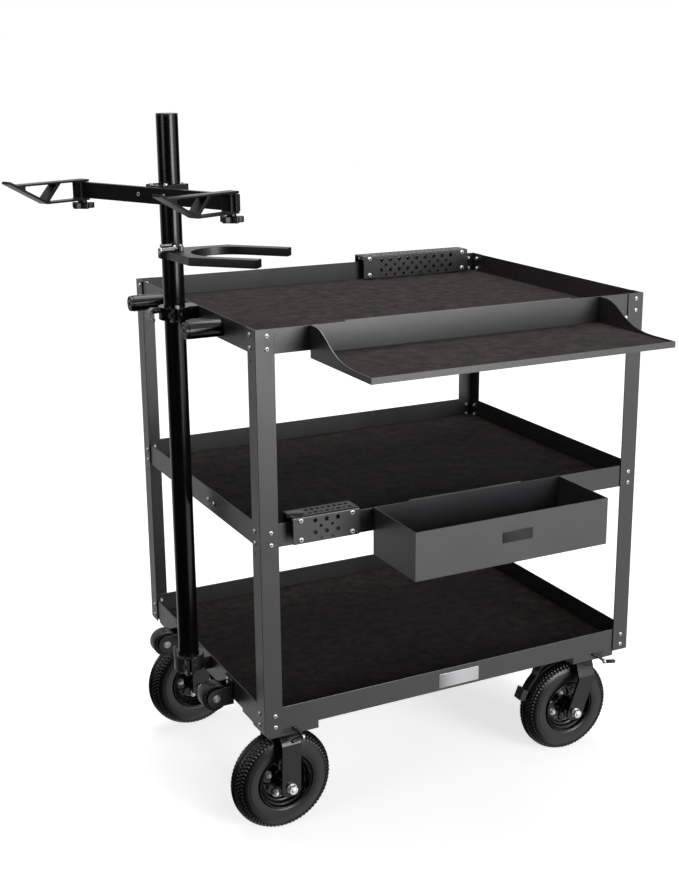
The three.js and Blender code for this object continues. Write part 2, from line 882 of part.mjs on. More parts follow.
// Lift roller and its bracket: a base on the tray wall with two round ears and the pin.
function rollerBracketGeometry() {
  const reach = -wallFace - rollerX;
  const earInner = rollerWidth / 2 + rollerGap;
  const earOuter = earInner + rollerEar;
  const low = -rollerEarRadius;
  const ears = [-1, 1].flatMap((hand) => {
    const from = Math.min(hand * earInner, hand * earOuter);
    return [
      barY(rollerEarRadius, from, from + rollerEar, raceSides),
      boxBetween([0, from, low], [reach - rollerBase / 2, from + rollerEar, rollerEarRadius]),
    ];
  });
  return joined(
    ...ears,
    barY(rollerPin, -earInner - rollerEar / 2, earInner + rollerEar / 2, pinSides),
    boxBetween(
      [reach - rollerBase, -earOuter, rollerBaseBottom - rollerHeight],
      [reach, earOuter, rollerBaseTop - rollerHeight],
    ),
  );
}

function rollerGeometry() {
  const half = rollerWidth / 2;
  const edge = rollerEar / 2;
  const profile = [
    [rollerPin + seatGap, -half],
    [rollerRadius - edge, -half],
    [rollerRadius, -half + edge],
    [rollerRadius, half - edge],
    [rollerRadius - edge, half],
    [rollerPin + seatGap, half],
    [rollerPin + seatGap, -half],
  ];
  return facingOut(turned(profile, rimSegments)).rotateX(rightAngle);
}

function addRollers() {
  const bracket = rollerBracketGeometry();
  const roller = rollerGeometry();
  for (const [name, end] of [
    ["front", -1],
    ["back", 1],
  ]) {
    const seat = new THREE.Group();
    seat.position.set(rollerX, end * rollerSpread, postFoot + rollerHeight);
    cart.add(seat);
    addMesh(seat, "roller_bracket_" + name, bracket, powderCoat);
    addMesh(seat, "lift_roller_" + name, roller, tyreRubber);
  }
}

// Fork holder: a flat fork on a ring round the pole, with the pin of its lever.
function forkHolderGeometry() {
  const high = postFoot + forkTop;
  const low = high - forkThickness;
  const centre = forkThroat + forkInner;
  const throat = arcPoints(centre, 0, forkInner, rightAngle, fullTurn - rightAngle, throatSteps);
  const outline = [
    [forkNeckU, -forkNeckV],
    [forkShoulder, -forkOuter],
    [forkReach - forkCorner, -forkOuter],
    [forkReach, -forkOuter + forkCorner],
    [forkReach, -forkInner],
    ...throat.reverse(),
    [forkReach, forkInner],
    [forkReach, forkOuter - forkCorner],
    [forkReach - forkCorner, forkOuter],
    [forkShoulder, forkOuter],
    [forkNeckU, forkNeckV],
    [0, forkRing],
    [0, -forkRing],
  ];
  const pin = barZ(leverPin, low, high + leverHeight, pinSides)
    .translate(leverSide, -leverOut, 0)
    .rotateZ(-forkTurn * degree);
  const plate = joined(raised(outline, low, high), barZ(forkRing, low, high, poleSides), pin);
  return cutBy(plate, poleBore(low, high));
}

// Lever of the fork holder: a hub on the pin and a rod across the front of the pole.
function forkLeverGeometry() {
  const low = postFoot + forkTop + seatGap;
  const high = low + leverHeight;
  const middle = (low + high) / 2;
  const hub = barZ(leverHub, low, high, knobSides).translate(leverSide, -leverOut, 0);
  const rod = barX(leverRadius, leverSide - leverLength, leverSide, holeSides)
    .translate(0, -leverOut, middle);
  const ball = ballAt(leverBall, leverSide - leverLength, -leverOut, middle);
  const bore = barZ(leverPin + seatGap, low - cutOverrun, high + cutOverrun, pinSides)
    .translate(leverSide, -leverOut, 0);
  return cutBy(joined(hub, rod, ball), bore);
}

function addForkHolder() {
  const stand = new THREE.Group();
  stand.position.set(poleX, poleY, 0);
  cart.add(stand);
  const holder = addMesh(stand, "fork_holder", forkHolderGeometry(), glossBlack);
  holder.rotation.z = forkTurn * degree;
  addMesh(stand, "fork_lever", forkLeverGeometry(), zincSteel);
}

// Cross bar: a flat bar bolted to the block that clamps on the pole, built along Y, outward +X.
function crossBarGeometry() {
  const low = postFoot + barBottom + seatGap;
  const high = postFoot + barTop - seatGap;
  const blockTop = postFoot + barTop + blockRise;
  const bar = boxBetween([barBack, -barHalfLength, low], [barFront, barHalfLength, high]);
  const block = boxBetween([-blockBack, -blockHalf, low], [barBack, blockHalf, blockTop]);
  const cheeks = [-1, 1].map((hand) => {
    const from = Math.min(hand * blockHalf, hand * (blockHalf + cheekSheet));
    return boxBetween(
      [-blockBack + cheekInset, from, low],
      [barBack - cheekInset, from + cheekSheet, blockTop + blockRise],
    );
  });
  return cutBy(joined(bar, block, ...cheeks), poleBore(low, blockTop));
}

// Truss arm: a jaw round the bar, two chords, a diagonal and the upturned lip.
function armGeometry() {
  const low = postFoot + barBottom;
  const high = postFoot + barTop;
  const slotFront = barFront + seatGap;
  const outline = [
    [armBack, low - armSheet],
    [armVertex, low - armSheet],
    [armTipX, high + armTipRise - armTipThickness],
    [armTipX - armTipThickness / 2, high + armTipRise],
    [armTopEnd, high + armSheet],
    [armBack, high + armSheet],
    [armBack, high],
    [slotFront, high],
    [slotFront, low],
    [armBack, low],
  ];
  const windowLow = low - armSheet + chordSheet;
  const windowHigh = high + armSheet - chordSheet;
  const windowHole = [
    [windowStart, windowLow],
    [windowBottomEnd, windowLow],
    [windowTopEnd, windowHigh],
    [windowStart, windowHigh],
  ];
  const gussetHole = [
    [gussetFoot, low - armSheet + gussetFootHeight],
    [gussetEnd, windowHigh - gussetEndHeight],
    [gussetEnd, windowHigh],
    [gussetStart, windowHigh],
  ];
  const side = armWidth / 2;
  const through = side + cutOverrun;
  const bore = barZ(armScrewRadius + seatGap, low - armSheet - cutOverrun, low + cutOverrun, pinSides);
  return cutBy(
    spreadY(outline, -side, side),
    spreadY(windowHole, -through, through),
    spreadY(gussetHole, -through, through),
    bore.translate((barBack + barFront) / 2, 0, 0),
  );
}

// Star knob: lobes round a hub, with a neck and the screw that locks the arm on the bar.
function starKnobGeometry() {
  const top = postFoot + barBottom - armSheet - starGap;
  const steps = starLobes * starSteps;
  const outline = Array.from({ length: steps }, (_, i) => {
    const angle = (fullTurn * i) / steps;
    const wave = (1 + Math.cos(starLobes * angle)) / 2;
    const radius = starWaist + (starRadius - starWaist) * wave;
    return [radius * Math.cos(angle), radius * Math.sin(angle)];
  });
  return joined(
    raised(outline, top - starThickness, top),
    barZ(starNeckRadius, top - starThickness, postFoot + barBottom - armSheet - seatGap, raceSides),
    barZ(armScrewRadius, top, postFoot + barBottom - armScrewGap, pinSides),
  );
}

function addCrossBar() {
  const stand = new THREE.Group();
  stand.position.set(poleX, poleY, 0);
  stand.rotation.z = barTurn * degree;
  cart.add(stand);
  addMesh(stand, "cross_bar", crossBarGeometry(), glossBlack);
  const arm = armGeometry();
  const star = starKnobGeometry();
  for (const [name, end] of [
    ["front", 1],
    ["back", -1],
  ]) {
    const seat = new THREE.Group();
    seat.position.y = end * armSpread;
    stand.add(seat);
    addMesh(seat, "arm_" + name, arm, glossBlack);
    const knob = addMesh(seat, "arm_knob_" + name, star, blackPlastic);
    knob.position.x = (barBack + barFront) / 2;
  }
}

// Keyboard shelf: a floor in a rim, two curved cheeks, and a back plate with a hook.
function shelfGeometry() {
  const back = -trayOuterY - seatGap;
  const front = -halfDepth - shelfReach;
  const floorTop = postFoot + shelfFloor;
  const rimTop = floorTop + shelfRim;
  const wallTop = trayTops.top + seatGap;
  const hookBack = -trayInnerY + seatGap;
  const hookEnd = hookBack + shelfSheet;
  const hookTop = wallTop + shelfSheet;
  const innerHalf = shelfHalf - shelfSheet;
  const pan = cutBy(
    boxBetween([-shelfHalf, front, floorTop - shelfSkirt], [shelfHalf, back, rimTop]),
    boxBetween(
      [-innerHalf, front + shelfSheet, floorTop],
      [innerHalf, back - shelfSheet, rimTop + cutOverrun],
    ),
    boxBetween(
      [-innerHalf, front + shelfSheet, floorTop - shelfSkirt - cutOverrun],
      [innerHalf, back - shelfSheet, floorTop - shelfSheet],
    ),
  );
  const cheek = [
    [back - shelfSheet / 2, wallTop],
    ...cheekCurve(back, wallTop, rimTop),
    [back - cheekFootY, rimTop - shelfSheet],
    [back - shelfSheet / 2, rimTop - shelfSheet],
  ];
  const cheeks = [-1, 1].map((hand) => {
    const from = Math.min(hand * shelfHalf, hand * innerHalf);
    return facingOut(spreadX(cheek, from, from + shelfSheet));
  });
  return joined(
    pan,
    boxBetween([-shelfHalf, back - shelfSheet, rimTop - shelfSheet], [shelfHalf, back, wallTop]),
    boxBetween(
      [-shelfHookHalf, back - shelfSheet, wallTop - shelfSheet],
      [shelfHookHalf, back, hookTop],
    ),
    boxBetween([-shelfHookHalf, back - shelfSheet, wallTop], [shelfHookHalf, hookEnd, hookTop]),
    boxBetween([-shelfHookHalf, hookBack, wallTop - hookLip], [shelfHookHalf, hookEnd, hookTop]),
    ...cheeks,
  );
}

// The cheek's S-curve from the top of the back plate down to the rim, rounded above and hollow below.
function cheekCurve(back, wallTop, rimTop) {
  const curve = new THREE.CubicBezierCurve(
    new THREE.Vector2(back - cheekTopY, wallTop),
    new THREE.Vector2(back - cheekShoulderY, wallTop),
    new THREE.Vector2(back - cheekWaistY, rimTop),
    new THREE.Vector2(back - cheekFootY, rimTop),
  );
  return curve.getPoints(cheekSteps).map(({ x, y }) => [x, y]);
}

function addShelf() {
  addMesh(cart, "keyboard_shelf", shelfGeometry(), powderCoat);
  const back = -trayOuterY - seatGap - shelfSheet - feltMargin;
  const front = -halfDepth - shelfReach + shelfSheet + feltMargin;
  const half = shelfHalf - shelfSheet - feltMargin;
  const low = postFoot + shelfFloor + seatGap;
  const felt = boxBetween([-half, front, low], [half, back, low + feltThickness / 2]);
  addMesh(cart, "shelf_mat", felt, feltCloth);
}

// Bin: an open box with a hook over the wall of the middle tray.
function binGeometry() {
  const back = -trayOuterY - seatGap;
  const front = back - binReach;
  const low = postFoot + binBottom;
  const high = postFoot + binTop;
  const wallTop = trayTops.middle + seatGap;
  const hookBack = -trayInnerY + seatGap;
  const hookEnd = hookBack + binSheet;
  const hookTop = wallTop + binSheet;
  const shell = cutBy(
    boxBetween([binLeft, front, low], [binRight, back, high]),
    boxBetween(
      [binLeft + binSheet, front + binSheet, low + binSheet],
      [binRight - binSheet, back - binSheet, high + cutOverrun],
    ),
  );
  return joined(
    shell,
    boxBetween([binHookLeft, back - binSheet, high - binSheet], [binHookRight, back, hookTop]),
    boxBetween([binHookLeft, back - binSheet, wallTop], [binHookRight, hookEnd, hookTop]),
    boxBetween([binHookLeft, hookBack, wallTop - hookLip], [binHookRight, hookEnd, hookTop]),
  );
}

// Perforated bracket: an upside-down channel that sits astride a tray wall on two end blocks.
// Built along X with the wall's middle on Y zero and the wall's top at height zero.
function bracketGeometry(length, pitch) {
  const half = length / 2;
  const inner = bracketHalfDepth - bracketSheet;
  const wallHalf = traySheet / 2 + seatGap;
  const end = half + cutOverrun;
  const under = -bracketDrop - cutOverrun;
  const channel = cutBy(
    boxBetween([-half, -bracketHalfDepth, -bracketDrop], [half, bracketHalfDepth, bracketRise]),
    boxBetween([-end, -inner, under], [end, inner, bracketRise - bracketSheet]),
  );
  const blocks = [-1, 1].map((hand) => {
    const centre = hand * (half - bracketBlockInset);
    return boxBetween(
      [centre - bracketBlock / 2, -inner - bracketSheet / 2, -bracketDrop + bracketSheet],
      [centre + bracketBlock / 2, inner + bracketSheet / 2, bracketRise - bracketSheet / 2],
    );
  });
  const slot = boxBetween([-end, -wallHalf, under], [end, wallHalf, seatGap]);
  const span = half - bracketBlockInset - bracketBlock;
  const columns = Math.floor(span / pitch + bracketRounding);
  const cuts = [];
  for (let i = -columns; i <= columns; i += 1) {
    for (const row of bracketLargeRows) {
      cuts.push(faceHole(i * pitch, row, bracketHole));
    }
    cuts.push(topHole(i * pitch, -bracketTopRow, bracketHole));
    cuts.push(topHole(i * pitch, bracketTopRow, bracketSmallHole));
    if (i < columns) {
      for (const row of bracketSmallRows) {
        cuts.push(faceHole((i + 1 / 2) * pitch, row, bracketSmallHole));
      }
    }
  }
  return cutBy(joined(channel, ...blocks), slot, ...cuts);
}

const faceHole = (x, row, radius) =>
  barY(radius, -bracketHalfDepth - cutOverrun, 0, smallHoleSides).translate(
    x,
    0,
    bracketRise - bracketRowTop - row * bracketRowStep,
  );

function topHole(x, y, radius) {
  const from = bracketRise - bracketSheet - cutOverrun;
  return barZ(radius, from, bracketRise + cutOverrun, smallHoleSides).translate(x, y, 0);
}

function addBrackets() {
  const wallMiddle = trayOuterY - traySheet / 2;
  const shortChannel = bracketGeometry(shortBracketLength, shortBracketPitch);
  const short = addMesh(cart, "short_bracket", shortChannel, powderCoat);
  short.position.set(shortBracketX, -wallMiddle, trayTops.middle);
  const longChannel = bracketGeometry(longBracketLength, longBracketPitch);
  const long = addMesh(cart, "long_bracket", longChannel, powderCoat);
  long.position.set(longBracketX, wallMiddle, trayTops.top);
}

addPosts();
["top", "middle", "bottom"].forEach(addTray);
addCasters();
addHandles();
addPole();
addRollers();
addForkHolder();
addCrossBar();
addShelf();
addMesh(cart, "front_bin", binGeometry(), binCoat);
addBrackets();

// The origin is the middle of the underside of the whole part's box.
const whole = new THREE.Group();
cart.updateMatrixWorld(true);
const bounds = new THREE.Box3().setFromObject(cart, true);
const middle = bounds.getCenter(new THREE.Vector3());
cart.position.set(-middle.x, -middle.y, -bounds.min.z);
whole.add(cart);

export default whole;
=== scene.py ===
# Camera cart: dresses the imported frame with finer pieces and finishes, and adds the studio and the camera.
import json
import math
import bpy
import bmesh
import numpy as np
from mathutils import Matrix, Vector

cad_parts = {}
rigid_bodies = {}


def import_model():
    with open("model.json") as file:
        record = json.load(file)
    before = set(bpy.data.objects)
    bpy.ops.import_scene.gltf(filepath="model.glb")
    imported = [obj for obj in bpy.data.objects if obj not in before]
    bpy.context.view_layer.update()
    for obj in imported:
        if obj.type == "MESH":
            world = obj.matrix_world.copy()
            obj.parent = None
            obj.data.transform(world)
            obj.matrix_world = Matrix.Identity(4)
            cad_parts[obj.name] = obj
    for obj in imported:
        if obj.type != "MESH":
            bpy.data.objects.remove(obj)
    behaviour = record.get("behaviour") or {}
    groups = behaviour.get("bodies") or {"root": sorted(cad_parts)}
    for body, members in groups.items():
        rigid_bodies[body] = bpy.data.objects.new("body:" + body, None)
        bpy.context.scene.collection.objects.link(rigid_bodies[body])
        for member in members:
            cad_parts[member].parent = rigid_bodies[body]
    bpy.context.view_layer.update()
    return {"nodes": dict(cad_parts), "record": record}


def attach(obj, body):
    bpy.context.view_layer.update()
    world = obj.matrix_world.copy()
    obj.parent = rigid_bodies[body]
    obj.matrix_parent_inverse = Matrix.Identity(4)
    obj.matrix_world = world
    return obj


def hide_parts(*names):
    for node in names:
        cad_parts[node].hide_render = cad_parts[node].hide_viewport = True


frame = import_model()
nodes = frame["nodes"]
mm = 0.001
print("stage: frame loaded,", len(nodes), "nodes")

# camera, fitted to the photograph: place of the lens, view direction and focal length
view = {"place": (-1.248902, -2.5776, 1.5974), "azimuth": -28.14, "elevation": 15.12,
        "lens": 72.60, "shiftX": -0.0714, "shiftY": -0.0199}


def linear(hexText):
    # sRGB hex to linear: x/12.92 below 0.04045, else ((x+0.055)/1.055)^2.4
    parts = [int(hexText[i:i + 2], 16) / 255 for i in (1, 3, 5)]
    return tuple(c / 12.92 if c <= 0.04045 else ((c + 0.055) / 1.055) ** 2.4 for c in parts) + (1.0,)


def addNode(tree, kind, inputs=None, stops=(), **settings):
    # One shader node with its settings. An input is a value, another node's output, or a node, which stands for
    # its first output; stops colour a ramp at (place, hex).
    node = tree.nodes.new("ShaderNode" + kind)
    for key, value in settings.items():
        setattr(node, key, value)
    for key, value in (inputs or {}).items():
        if isinstance(value, bpy.types.Node):
            value = value.outputs[0]
        if isinstance(value, bpy.types.NodeSocket):
            tree.links.new(value, node.inputs[key])
        else:
            node.inputs[key].default_value = value
    if stops:
        elements = node.color_ramp.elements
        while len(elements) < len(stops):
            elements.new(0.5)
        for element, (at, colour) in zip(elements, stops):
            element.position, element.color = at, linear(colour)
    return node


def emptyTree(owner):
    owner.use_nodes = True
    owner.node_tree.nodes.clear()
    return owner.node_tree


def makeFinish(name, clouds, colours, gloss, grain=None, at=(0.3, 0.7), stretch=None, sockets=()):
    # Clouds of noise (scale per metre, detail, roughness), averaged, tint the finish between two colours and
    # spread its roughness. The grain (texture, scale per metre, strength, depth in metres) is bump; without a
    # texture it follows the clouds.
    material = bpy.data.materials.new(name)
    tree = emptyTree(material)
    place = addNode(tree, "TexCoord").outputs["Object"]
    if stretch:
        place = addNode(tree, "Mapping", {"Vector": place, "Scale": stretch})
    mask = None
    for scale, detail, rough in clouds:
        noise = addNode(tree, "TexNoise", {"Vector": place, "Scale": scale, "Detail": detail, "Roughness": rough})
        if mask:
            both = addNode(tree, "Math", {0: mask, 1: noise}, operation="ADD")
            noise = addNode(tree, "Math", {0: both, 1: 0.5}, operation="MULTIPLY")
        mask = noise
    inputs = dict(sockets)
    inputs["Base Color"] = linear(colours[0])
    if len(colours) > 1:
        inputs["Base Color"] = addNode(tree, "ValToRGB", {"Fac": mask}, list(zip(at, colours)))
    inputs["Roughness"] = gloss[0]
    if len(gloss) > 1:
        inputs["Roughness"] = addNode(tree, "MapRange", {"Value": mask, "To Min": gloss[0], "To Max": gloss[1]})
    if grain:
        texture, scale, strength, depth = grain
        height = addNode(tree, texture, {"Vector": place, "Scale": scale}) if texture else mask
        inputs["Normal"] = addNode(tree, "Bump", {"Height": height, "Strength": strength, "Distance": depth})
    addNode(tree, "OutputMaterial", {0: addNode(tree, "BsdfPrincipled", inputs)})
    return material


coatGrain = ("TexNoise", 1400, 0.35, 0.0003)
rubberPores = ("TexNoise", 900, 0.25, 0.0003)
finishes = {
    # polyester powder coat: baked-on film with a fine orange-peel grain of about 0.7 mm and a satin sheen
    "powder_coat": makeFinish("satinPowderCoat", [(9, 4, 0.6)], ("#211f1e", "#272423"), (0.3, 0.42), coatGrain,
        sockets={"Specular IOR Level": 0.8}),
    # the same coat on the bin, a shade lighter and cooler
    "bin_coat": makeFinish("greySatinPowderCoat", [(9, 4, 0.6)], ("#313033", "#37363a"), (0.3, 0.42), coatGrain,
        sockets={"Specular IOR Level": 0.8}),
    # stoved gloss enamel on steel: almost black, mirror-like with a faint ripple
    "gloss_black": makeFinish("stovedGlossEnamel", [(14, 5, 0.65)], ("#070707",), (0.16, 0.28),
        ("TexNoise", 160, 0.03, 0.0004), sockets={"Specular IOR Level": 0.4}),
    # bead-blasted, black anodised aluminium: soft metallic sheen with a very fine grain
    "anodised_black": makeFinish("blackAnodisedAluminium", [(22, 3, 0.5)], ("#121111", "#191818"), (0.3, 0.40),
        ("TexNoise", 1800, 0.25, 0.0002), sockets={"Metallic": 0.15}),
    # needled felt: matted fibres of about 2 mm over soft blotches of about 30 mm, with a faint nap
    "felt": makeFinish("charcoalFelt", [(34, 6, 0.7), (420, 4, 0.7)], ("#060505", "#3b322f"), (0.95,),
        (None, 0, 0.6, 0.0024), (0.42, 0.58),
        sockets={"Sheen Weight": 0.05, "Specular IOR Level": 0.15}),
    # vulcanised black rubber: soft satin, slightly dusty in the hollows
    "tyre_rubber": makeFinish("tyreRubber", [(45, 5, 0.65)], ("#090807", "#0f0d0c"), (0.23, 0.39), rubberPores,
        (0.35, 0.7)),
    "roller_rubber": makeFinish("hardRollerRubber", [(45, 5, 0.65)], ("#080808", "#0d0d0d"), (0.3, 0.46),
        rubberPores, (0.35, 0.7)),
    # bright zinc plate: a fine cloudy tint and uneven polish
    "zinc_steel": makeFinish("brightZincPlate", [(220, 4, 0.6)], ("#dfe0e2", "#f0f0f1"), (0.42, 0.56),
        sockets={"Metallic": 1.0}),
    # injection-moulded black nylon: fine spark-eroded grain of about 0.7 mm, soft shine
    "black_plastic": makeFinish("mouldedBlackNylon", [(40, 3, 0.5)], ("#101010", "#161616"), (0.32, 0.46),
        ("TexVoronoi", 1500, 0.2, 0.0002)),
    # stainless sheet brushed along its height
    "barePlate": makeFinish("brushedBarePlate", [(220, 4, 0.6)], ("#b4b5b6", "#c6c7c8"), (0.3, 0.42),
        stretch=(1, 1, 6), sockets={"Metallic": 1.0}),
    # steel, bead-blasted and left bare: dull grey with a cloudy polish
    "blastedSteel": makeFinish("blastedSteel", [(220, 4, 0.6)], ("#6d6e70", "#86878a"), (0.34, 0.48),
        sockets={"Metallic": 1.0}),
}
for entry in frame["record"]["subparts"]:
    node, finish = nodes[entry["node"]], finishes[entry["material_slot"]]
    for holder in node.material_slots:
        holder.material = finish
    if not node.material_slots:
        node.data.materials.append(finish)
print("stage: finishes made")


def gridFaces(rows, cols, wrapRows=False, wrapCols=False):
    # quads between neighbouring points of a grid stored row by row
    i = np.arange(rows if wrapRows else rows - 1)[:, None]
    j = np.arange(cols if wrapCols else cols - 1)[None, :]
    below, right = (i + 1) % rows, (j + 1) % cols
    quads = [i * cols + j, i * cols + right, below * cols + right, below * cols + j]
    return np.stack(quads, axis=-1).reshape(-1, 4)


def capped(rows, count):
    # faces of a run of closed rings with a cap at each end
    ring = np.arange(count)
    return [gridFaces(rows, count, False, True), np.stack([ring[::-1], ring + (rows - 1) * count])]


def around(count):
    return np.linspace(0, 2 * np.pi, count, endpoint=False)


def unit(vectors):
    return vectors / np.linalg.norm(vectors, axis=-1, keepdims=True)


def aboutZ(r, z, t, wrap=True):
    # shell of the points (r cos t, r sin t, z), one row for each r and z
    points = np.stack([r * np.cos(t), r * np.sin(t), z + 0 * t], axis=-1)
    return points.reshape(-1, 3), [gridFaces(*points.shape[:2], wrap, True)]


def turned(profile, segments=48, wrap=False):
    # surface of revolution about Z: (r cos t, r sin t, z) for each profile point (r, z)
    profile = np.asarray(profile, float)
    return aboutZ(profile[:, 0:1], profile[:, 1:2], around(segments), wrap)


def rod(radius, low, high, segments=24):
    return turned([(0, low), (radius, low), (radius, high), (0, high)], segments)


def ball(radius, rows):
    # half circle (r sin a, -r cos a) turned about Z
    a = np.linspace(0, np.pi, rows)
    return turned(np.c_[radius * np.sin(a), -radius * np.cos(a)], 28)


def extruded(outline, low, high):
    # straight prism: the outline (x, y) at two heights, closed by two caps
    outline = np.asarray(outline, float)
    count = len(outline)
    return np.c_[np.tile(outline, (2, 1)), np.repeat([low, high], count)], capped(2, count)


def swept(path, section):
    # the section (u, v) carried along a path; each ring stands square to the path's bisector
    path, section = np.asarray(path, float), np.asarray(section, float)
    step = unit(np.diff(path, axis=0))
    along = unit(np.concatenate([step[:1], step[:-1] + step[1:], step[-1:]]))
    across = unit(np.cross(along, (0, 0, 1)))
    up = np.cross(across, along)
    points = path[:, None] + section[None, :, 0:1] * across[:, None] + section[None, :, 1:2] * up[:, None]
    return points.reshape(-1, 3), capped(len(path), len(section))


def circle(radius, count, middle=(0, 0), start=0, sweep=360, closed=True):
    # points (r cos t, r sin t) round a middle, from one angle over a sweep in degrees
    t = np.radians(start) + np.linspace(0, np.radians(sweep), count, endpoint=not closed)
    return np.c_[middle[0] + radius * np.cos(t), middle[1] + radius * np.sin(t)]


def rounded(corners, radius, count=5):
    # polygon with each corner replaced by an arc of the given radius
    corners = np.asarray(corners, float)
    before, after = unit(np.roll(corners, 1, 0) - corners), unit(np.roll(corners, -1, 0) - corners)
    half = np.arccos(np.clip((before * after).sum(1), -1, 1))[:, None] / 2
    centre = corners + unit(before + after) * radius / np.sin(half)
    reach = radius / np.tan(half)
    start, end = corners + before * reach - centre, corners + after * reach - centre
    t = np.linspace(0, 1, count)[None, :, None]
    arc = unit(start[:, None] * (1 - t) + end[:, None] * t) * radius
    return (centre[:, None] + arc).reshape(-1, 2)


def rectangle(x0, y0, x1, y1):
    return [(x0, y0), (x1, y0), (x1, y1), (x0, y1)]


def addObject(name, data):
    thing = bpy.data.objects.new(name, data)
    bpy.context.collection.objects.link(thing)
    return thing


def plate(outline, holes, low, high, edge=0.3):
    # flat sheet with holes: a filled flat curve with rolled edges, made a mesh before it is placed
    curve = bpy.data.curves.new("sheet", "CURVE")
    curve.dimensions, curve.fill_mode = "2D", "BOTH"
    curve.extrude, curve.bevel_depth, curve.bevel_resolution = (high - low) / 2 - edge, edge, 1
    curve.offset = -edge
    for loop in [outline] + list(holes):
        spline = curve.splines.new("POLY")
        spline.points.add(len(loop) - 1)
        spline.points.foreach_set("co", np.c_[loop, np.zeros(len(loop)), np.ones(len(loop))].ravel())
        spline.use_cyclic_u = True
    holder = addObject("sheet", curve)
    mesh = bpy.data.meshes.new_from_object(holder.evaluated_get(bpy.context.evaluated_depsgraph_get()))
    points = np.empty(len(mesh.vertices) * 3)
    mesh.vertices.foreach_get("co", points)
    mesh.calc_loop_triangles()
    triangles = np.empty(len(mesh.loop_triangles) * 3, dtype=np.int32)
    mesh.loop_triangles.foreach_get("vertices", triangles)
    bpy.data.batch_remove([holder, curve, mesh])
    return points.reshape(-1, 3) + [0, 0, (low + high) / 2], [triangles.reshape(-1, 3)]


def block(low, high):
    # six-sided block between two corners
    return extruded(rectangle(*low[:2], *high[:2]), low[2], high[2])


def moved(shell, *steps):
    # the shell taken through matrices, first to last
    points, faces = shell
    for matrix in steps:
        array = np.array(matrix)
        points = points @ array[:3, :3].T + array[:3, 3]
    return points, faces


def shift(x, y, z):
    return Matrix.Translation((x, y, z))


def turn(degrees, axis):
    return Matrix.Rotation(math.radians(degrees), 4, axis)


def pointing(x, y, z):
    # carries the Z axis onto a direction
    return Vector((x, y, z)).to_track_quat("Z", "Y").to_matrix().to_4x4()


toY = turn(-90, "X")  # carries the Z axis onto +Y
upright = turn(90, "X")  # carries a flat outline (x, y) into the plane (x, z), its height towards -Y
toYZ = turn(90, "Z")  # carries that plane on into (y, z)
cart = shift(176.516, 114.9, 0)  # frame's middle seen from the part's origin, in mm
ways = {"x": turn(90, "Y"), "-x": turn(-90, "Y"), "y": toY, "-y": upright}


def towards(axis, hand):
    return axis if hand > 0 else "-" + axis


def lying(shell, way, place):
    # a turned part laid along a way: "x", "-x", "y" or "-y", then put in place
    return moved(shell, ways[way], shift(*place))


def makePiece(name, shells, finish, body, at=(), replaces=(), bevel=0.0, sharp=35, thickness=0.0, level=False):
    # One object from closed shells in millimetres, which the matrices of at put in place:
    # doubles merged, faces turned outwards, soft edges.
    points, faces, offset = [], [], 0
    for shell in shells:
        shellPoints, groups = moved(shell, *at)
        points.append(shellPoints)
        for group in groups:
            faces += (group + offset).tolist()
        offset += len(shellPoints)
    mesh = bpy.data.meshes.new(name)
    mesh.from_pydata((np.concatenate(points) * mm).tolist(), [], faces)
    bm = bmesh.new()
    bm.from_mesh(mesh)
    bmesh.ops.remove_doubles(bm, verts=bm.verts, dist=2e-6)
    bmesh.ops.dissolve_degenerate(bm, edges=bm.edges, dist=1e-6)
    bmesh.ops.recalc_face_normals(bm, faces=bm.faces)
    bm.to_mesh(mesh)
    bm.free()
    mesh.polygons.foreach_set("use_smooth", np.ones(len(mesh.polygons), bool))
    mesh.set_sharp_from_angle(angle=math.radians(sharp))
    mesh.materials.append(finishes[finish])
    piece = addObject(name, mesh)
    if thickness:
        solid = piece.modifiers.new("sheet", "SOLIDIFY")
        solid.thickness, solid.offset = thickness * mm, 0
    if bevel:
        softenEdges(piece, bevel, sharp).harden_normals = True
    if level:
        piece.modifiers.new("levelFaces", "WEIGHTED_NORMAL").keep_sharp = True
    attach(piece, body)
    if replaces:
        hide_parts(*replaces)


def softenEdges(piece, width, sharp):
    soft = piece.modifiers.new("softEdges", "BEVEL")
    soft.width, soft.segments, soft.limit_method = width * mm, 2, "ANGLE"
    soft.angle_limit = math.radians(sharp)
    return soft


def soften(names, width):
    # folded sheet whose solid is right: its loose triangles are welded and its edges rounded
    for name in names:
        nodes[name].modifiers.new("weld", "WELD").merge_threshold = 1e-5
        softenEdges(nodes[name], width, 40)


# casters: trail of the axle and height of the flare's foot by side; places from the frame's middle, turn of each
# fork and spin of each wheel
caster = {"wheelRadius": 112, "legHalf": 22, "legSheet": 6, "hingeX": 58, "hingeZ": 235, "nutSeat": 56.3,
        "trail": {-1: 2, 1: 29}, "flare": {-1: 208, 1: 194}}
casterAt = {
    "front_left": {"side": -1, "end": -1, "place": (-388.7, -272.5), "turn": 181, "spin": 63},
    "front_right": {"side": 1, "end": -1, "place": (367.5, -272.5), "turn": 178, "spin": 22},
    "back_left": {"side": -1, "end": 1, "place": (-388.7, 262.5), "turn": 182, "spin": -7},
    "back_right": {"side": 1, "end": 1, "place": (367.5, 262.5), "turn": 180, "spin": 40}}

# tread: rows of lugs (from, to, start, share of the pitch, height) on both halves of the tyre,
# three ribs in the middle, and fine rings (height, radius, spread) on the sidewall
tread = {"lugs": 74, "samples": 8, "height": 1.9, "slope": 0.8, "ribPitch": 3.6, "ribHalf": 1.3,
        "rows": [(20.6, 23.8, 0.0, 0.55, 0.9), (15.6, 19.2, 0.5, 0.6, 1.0), (10.4, 14.4, 0.0, 0.66, 0.9)],
        "rings": [(0.5, 64.5, 0.9), (0.6, 92, 0.8), (0.4, 88.5, 0.7)]}


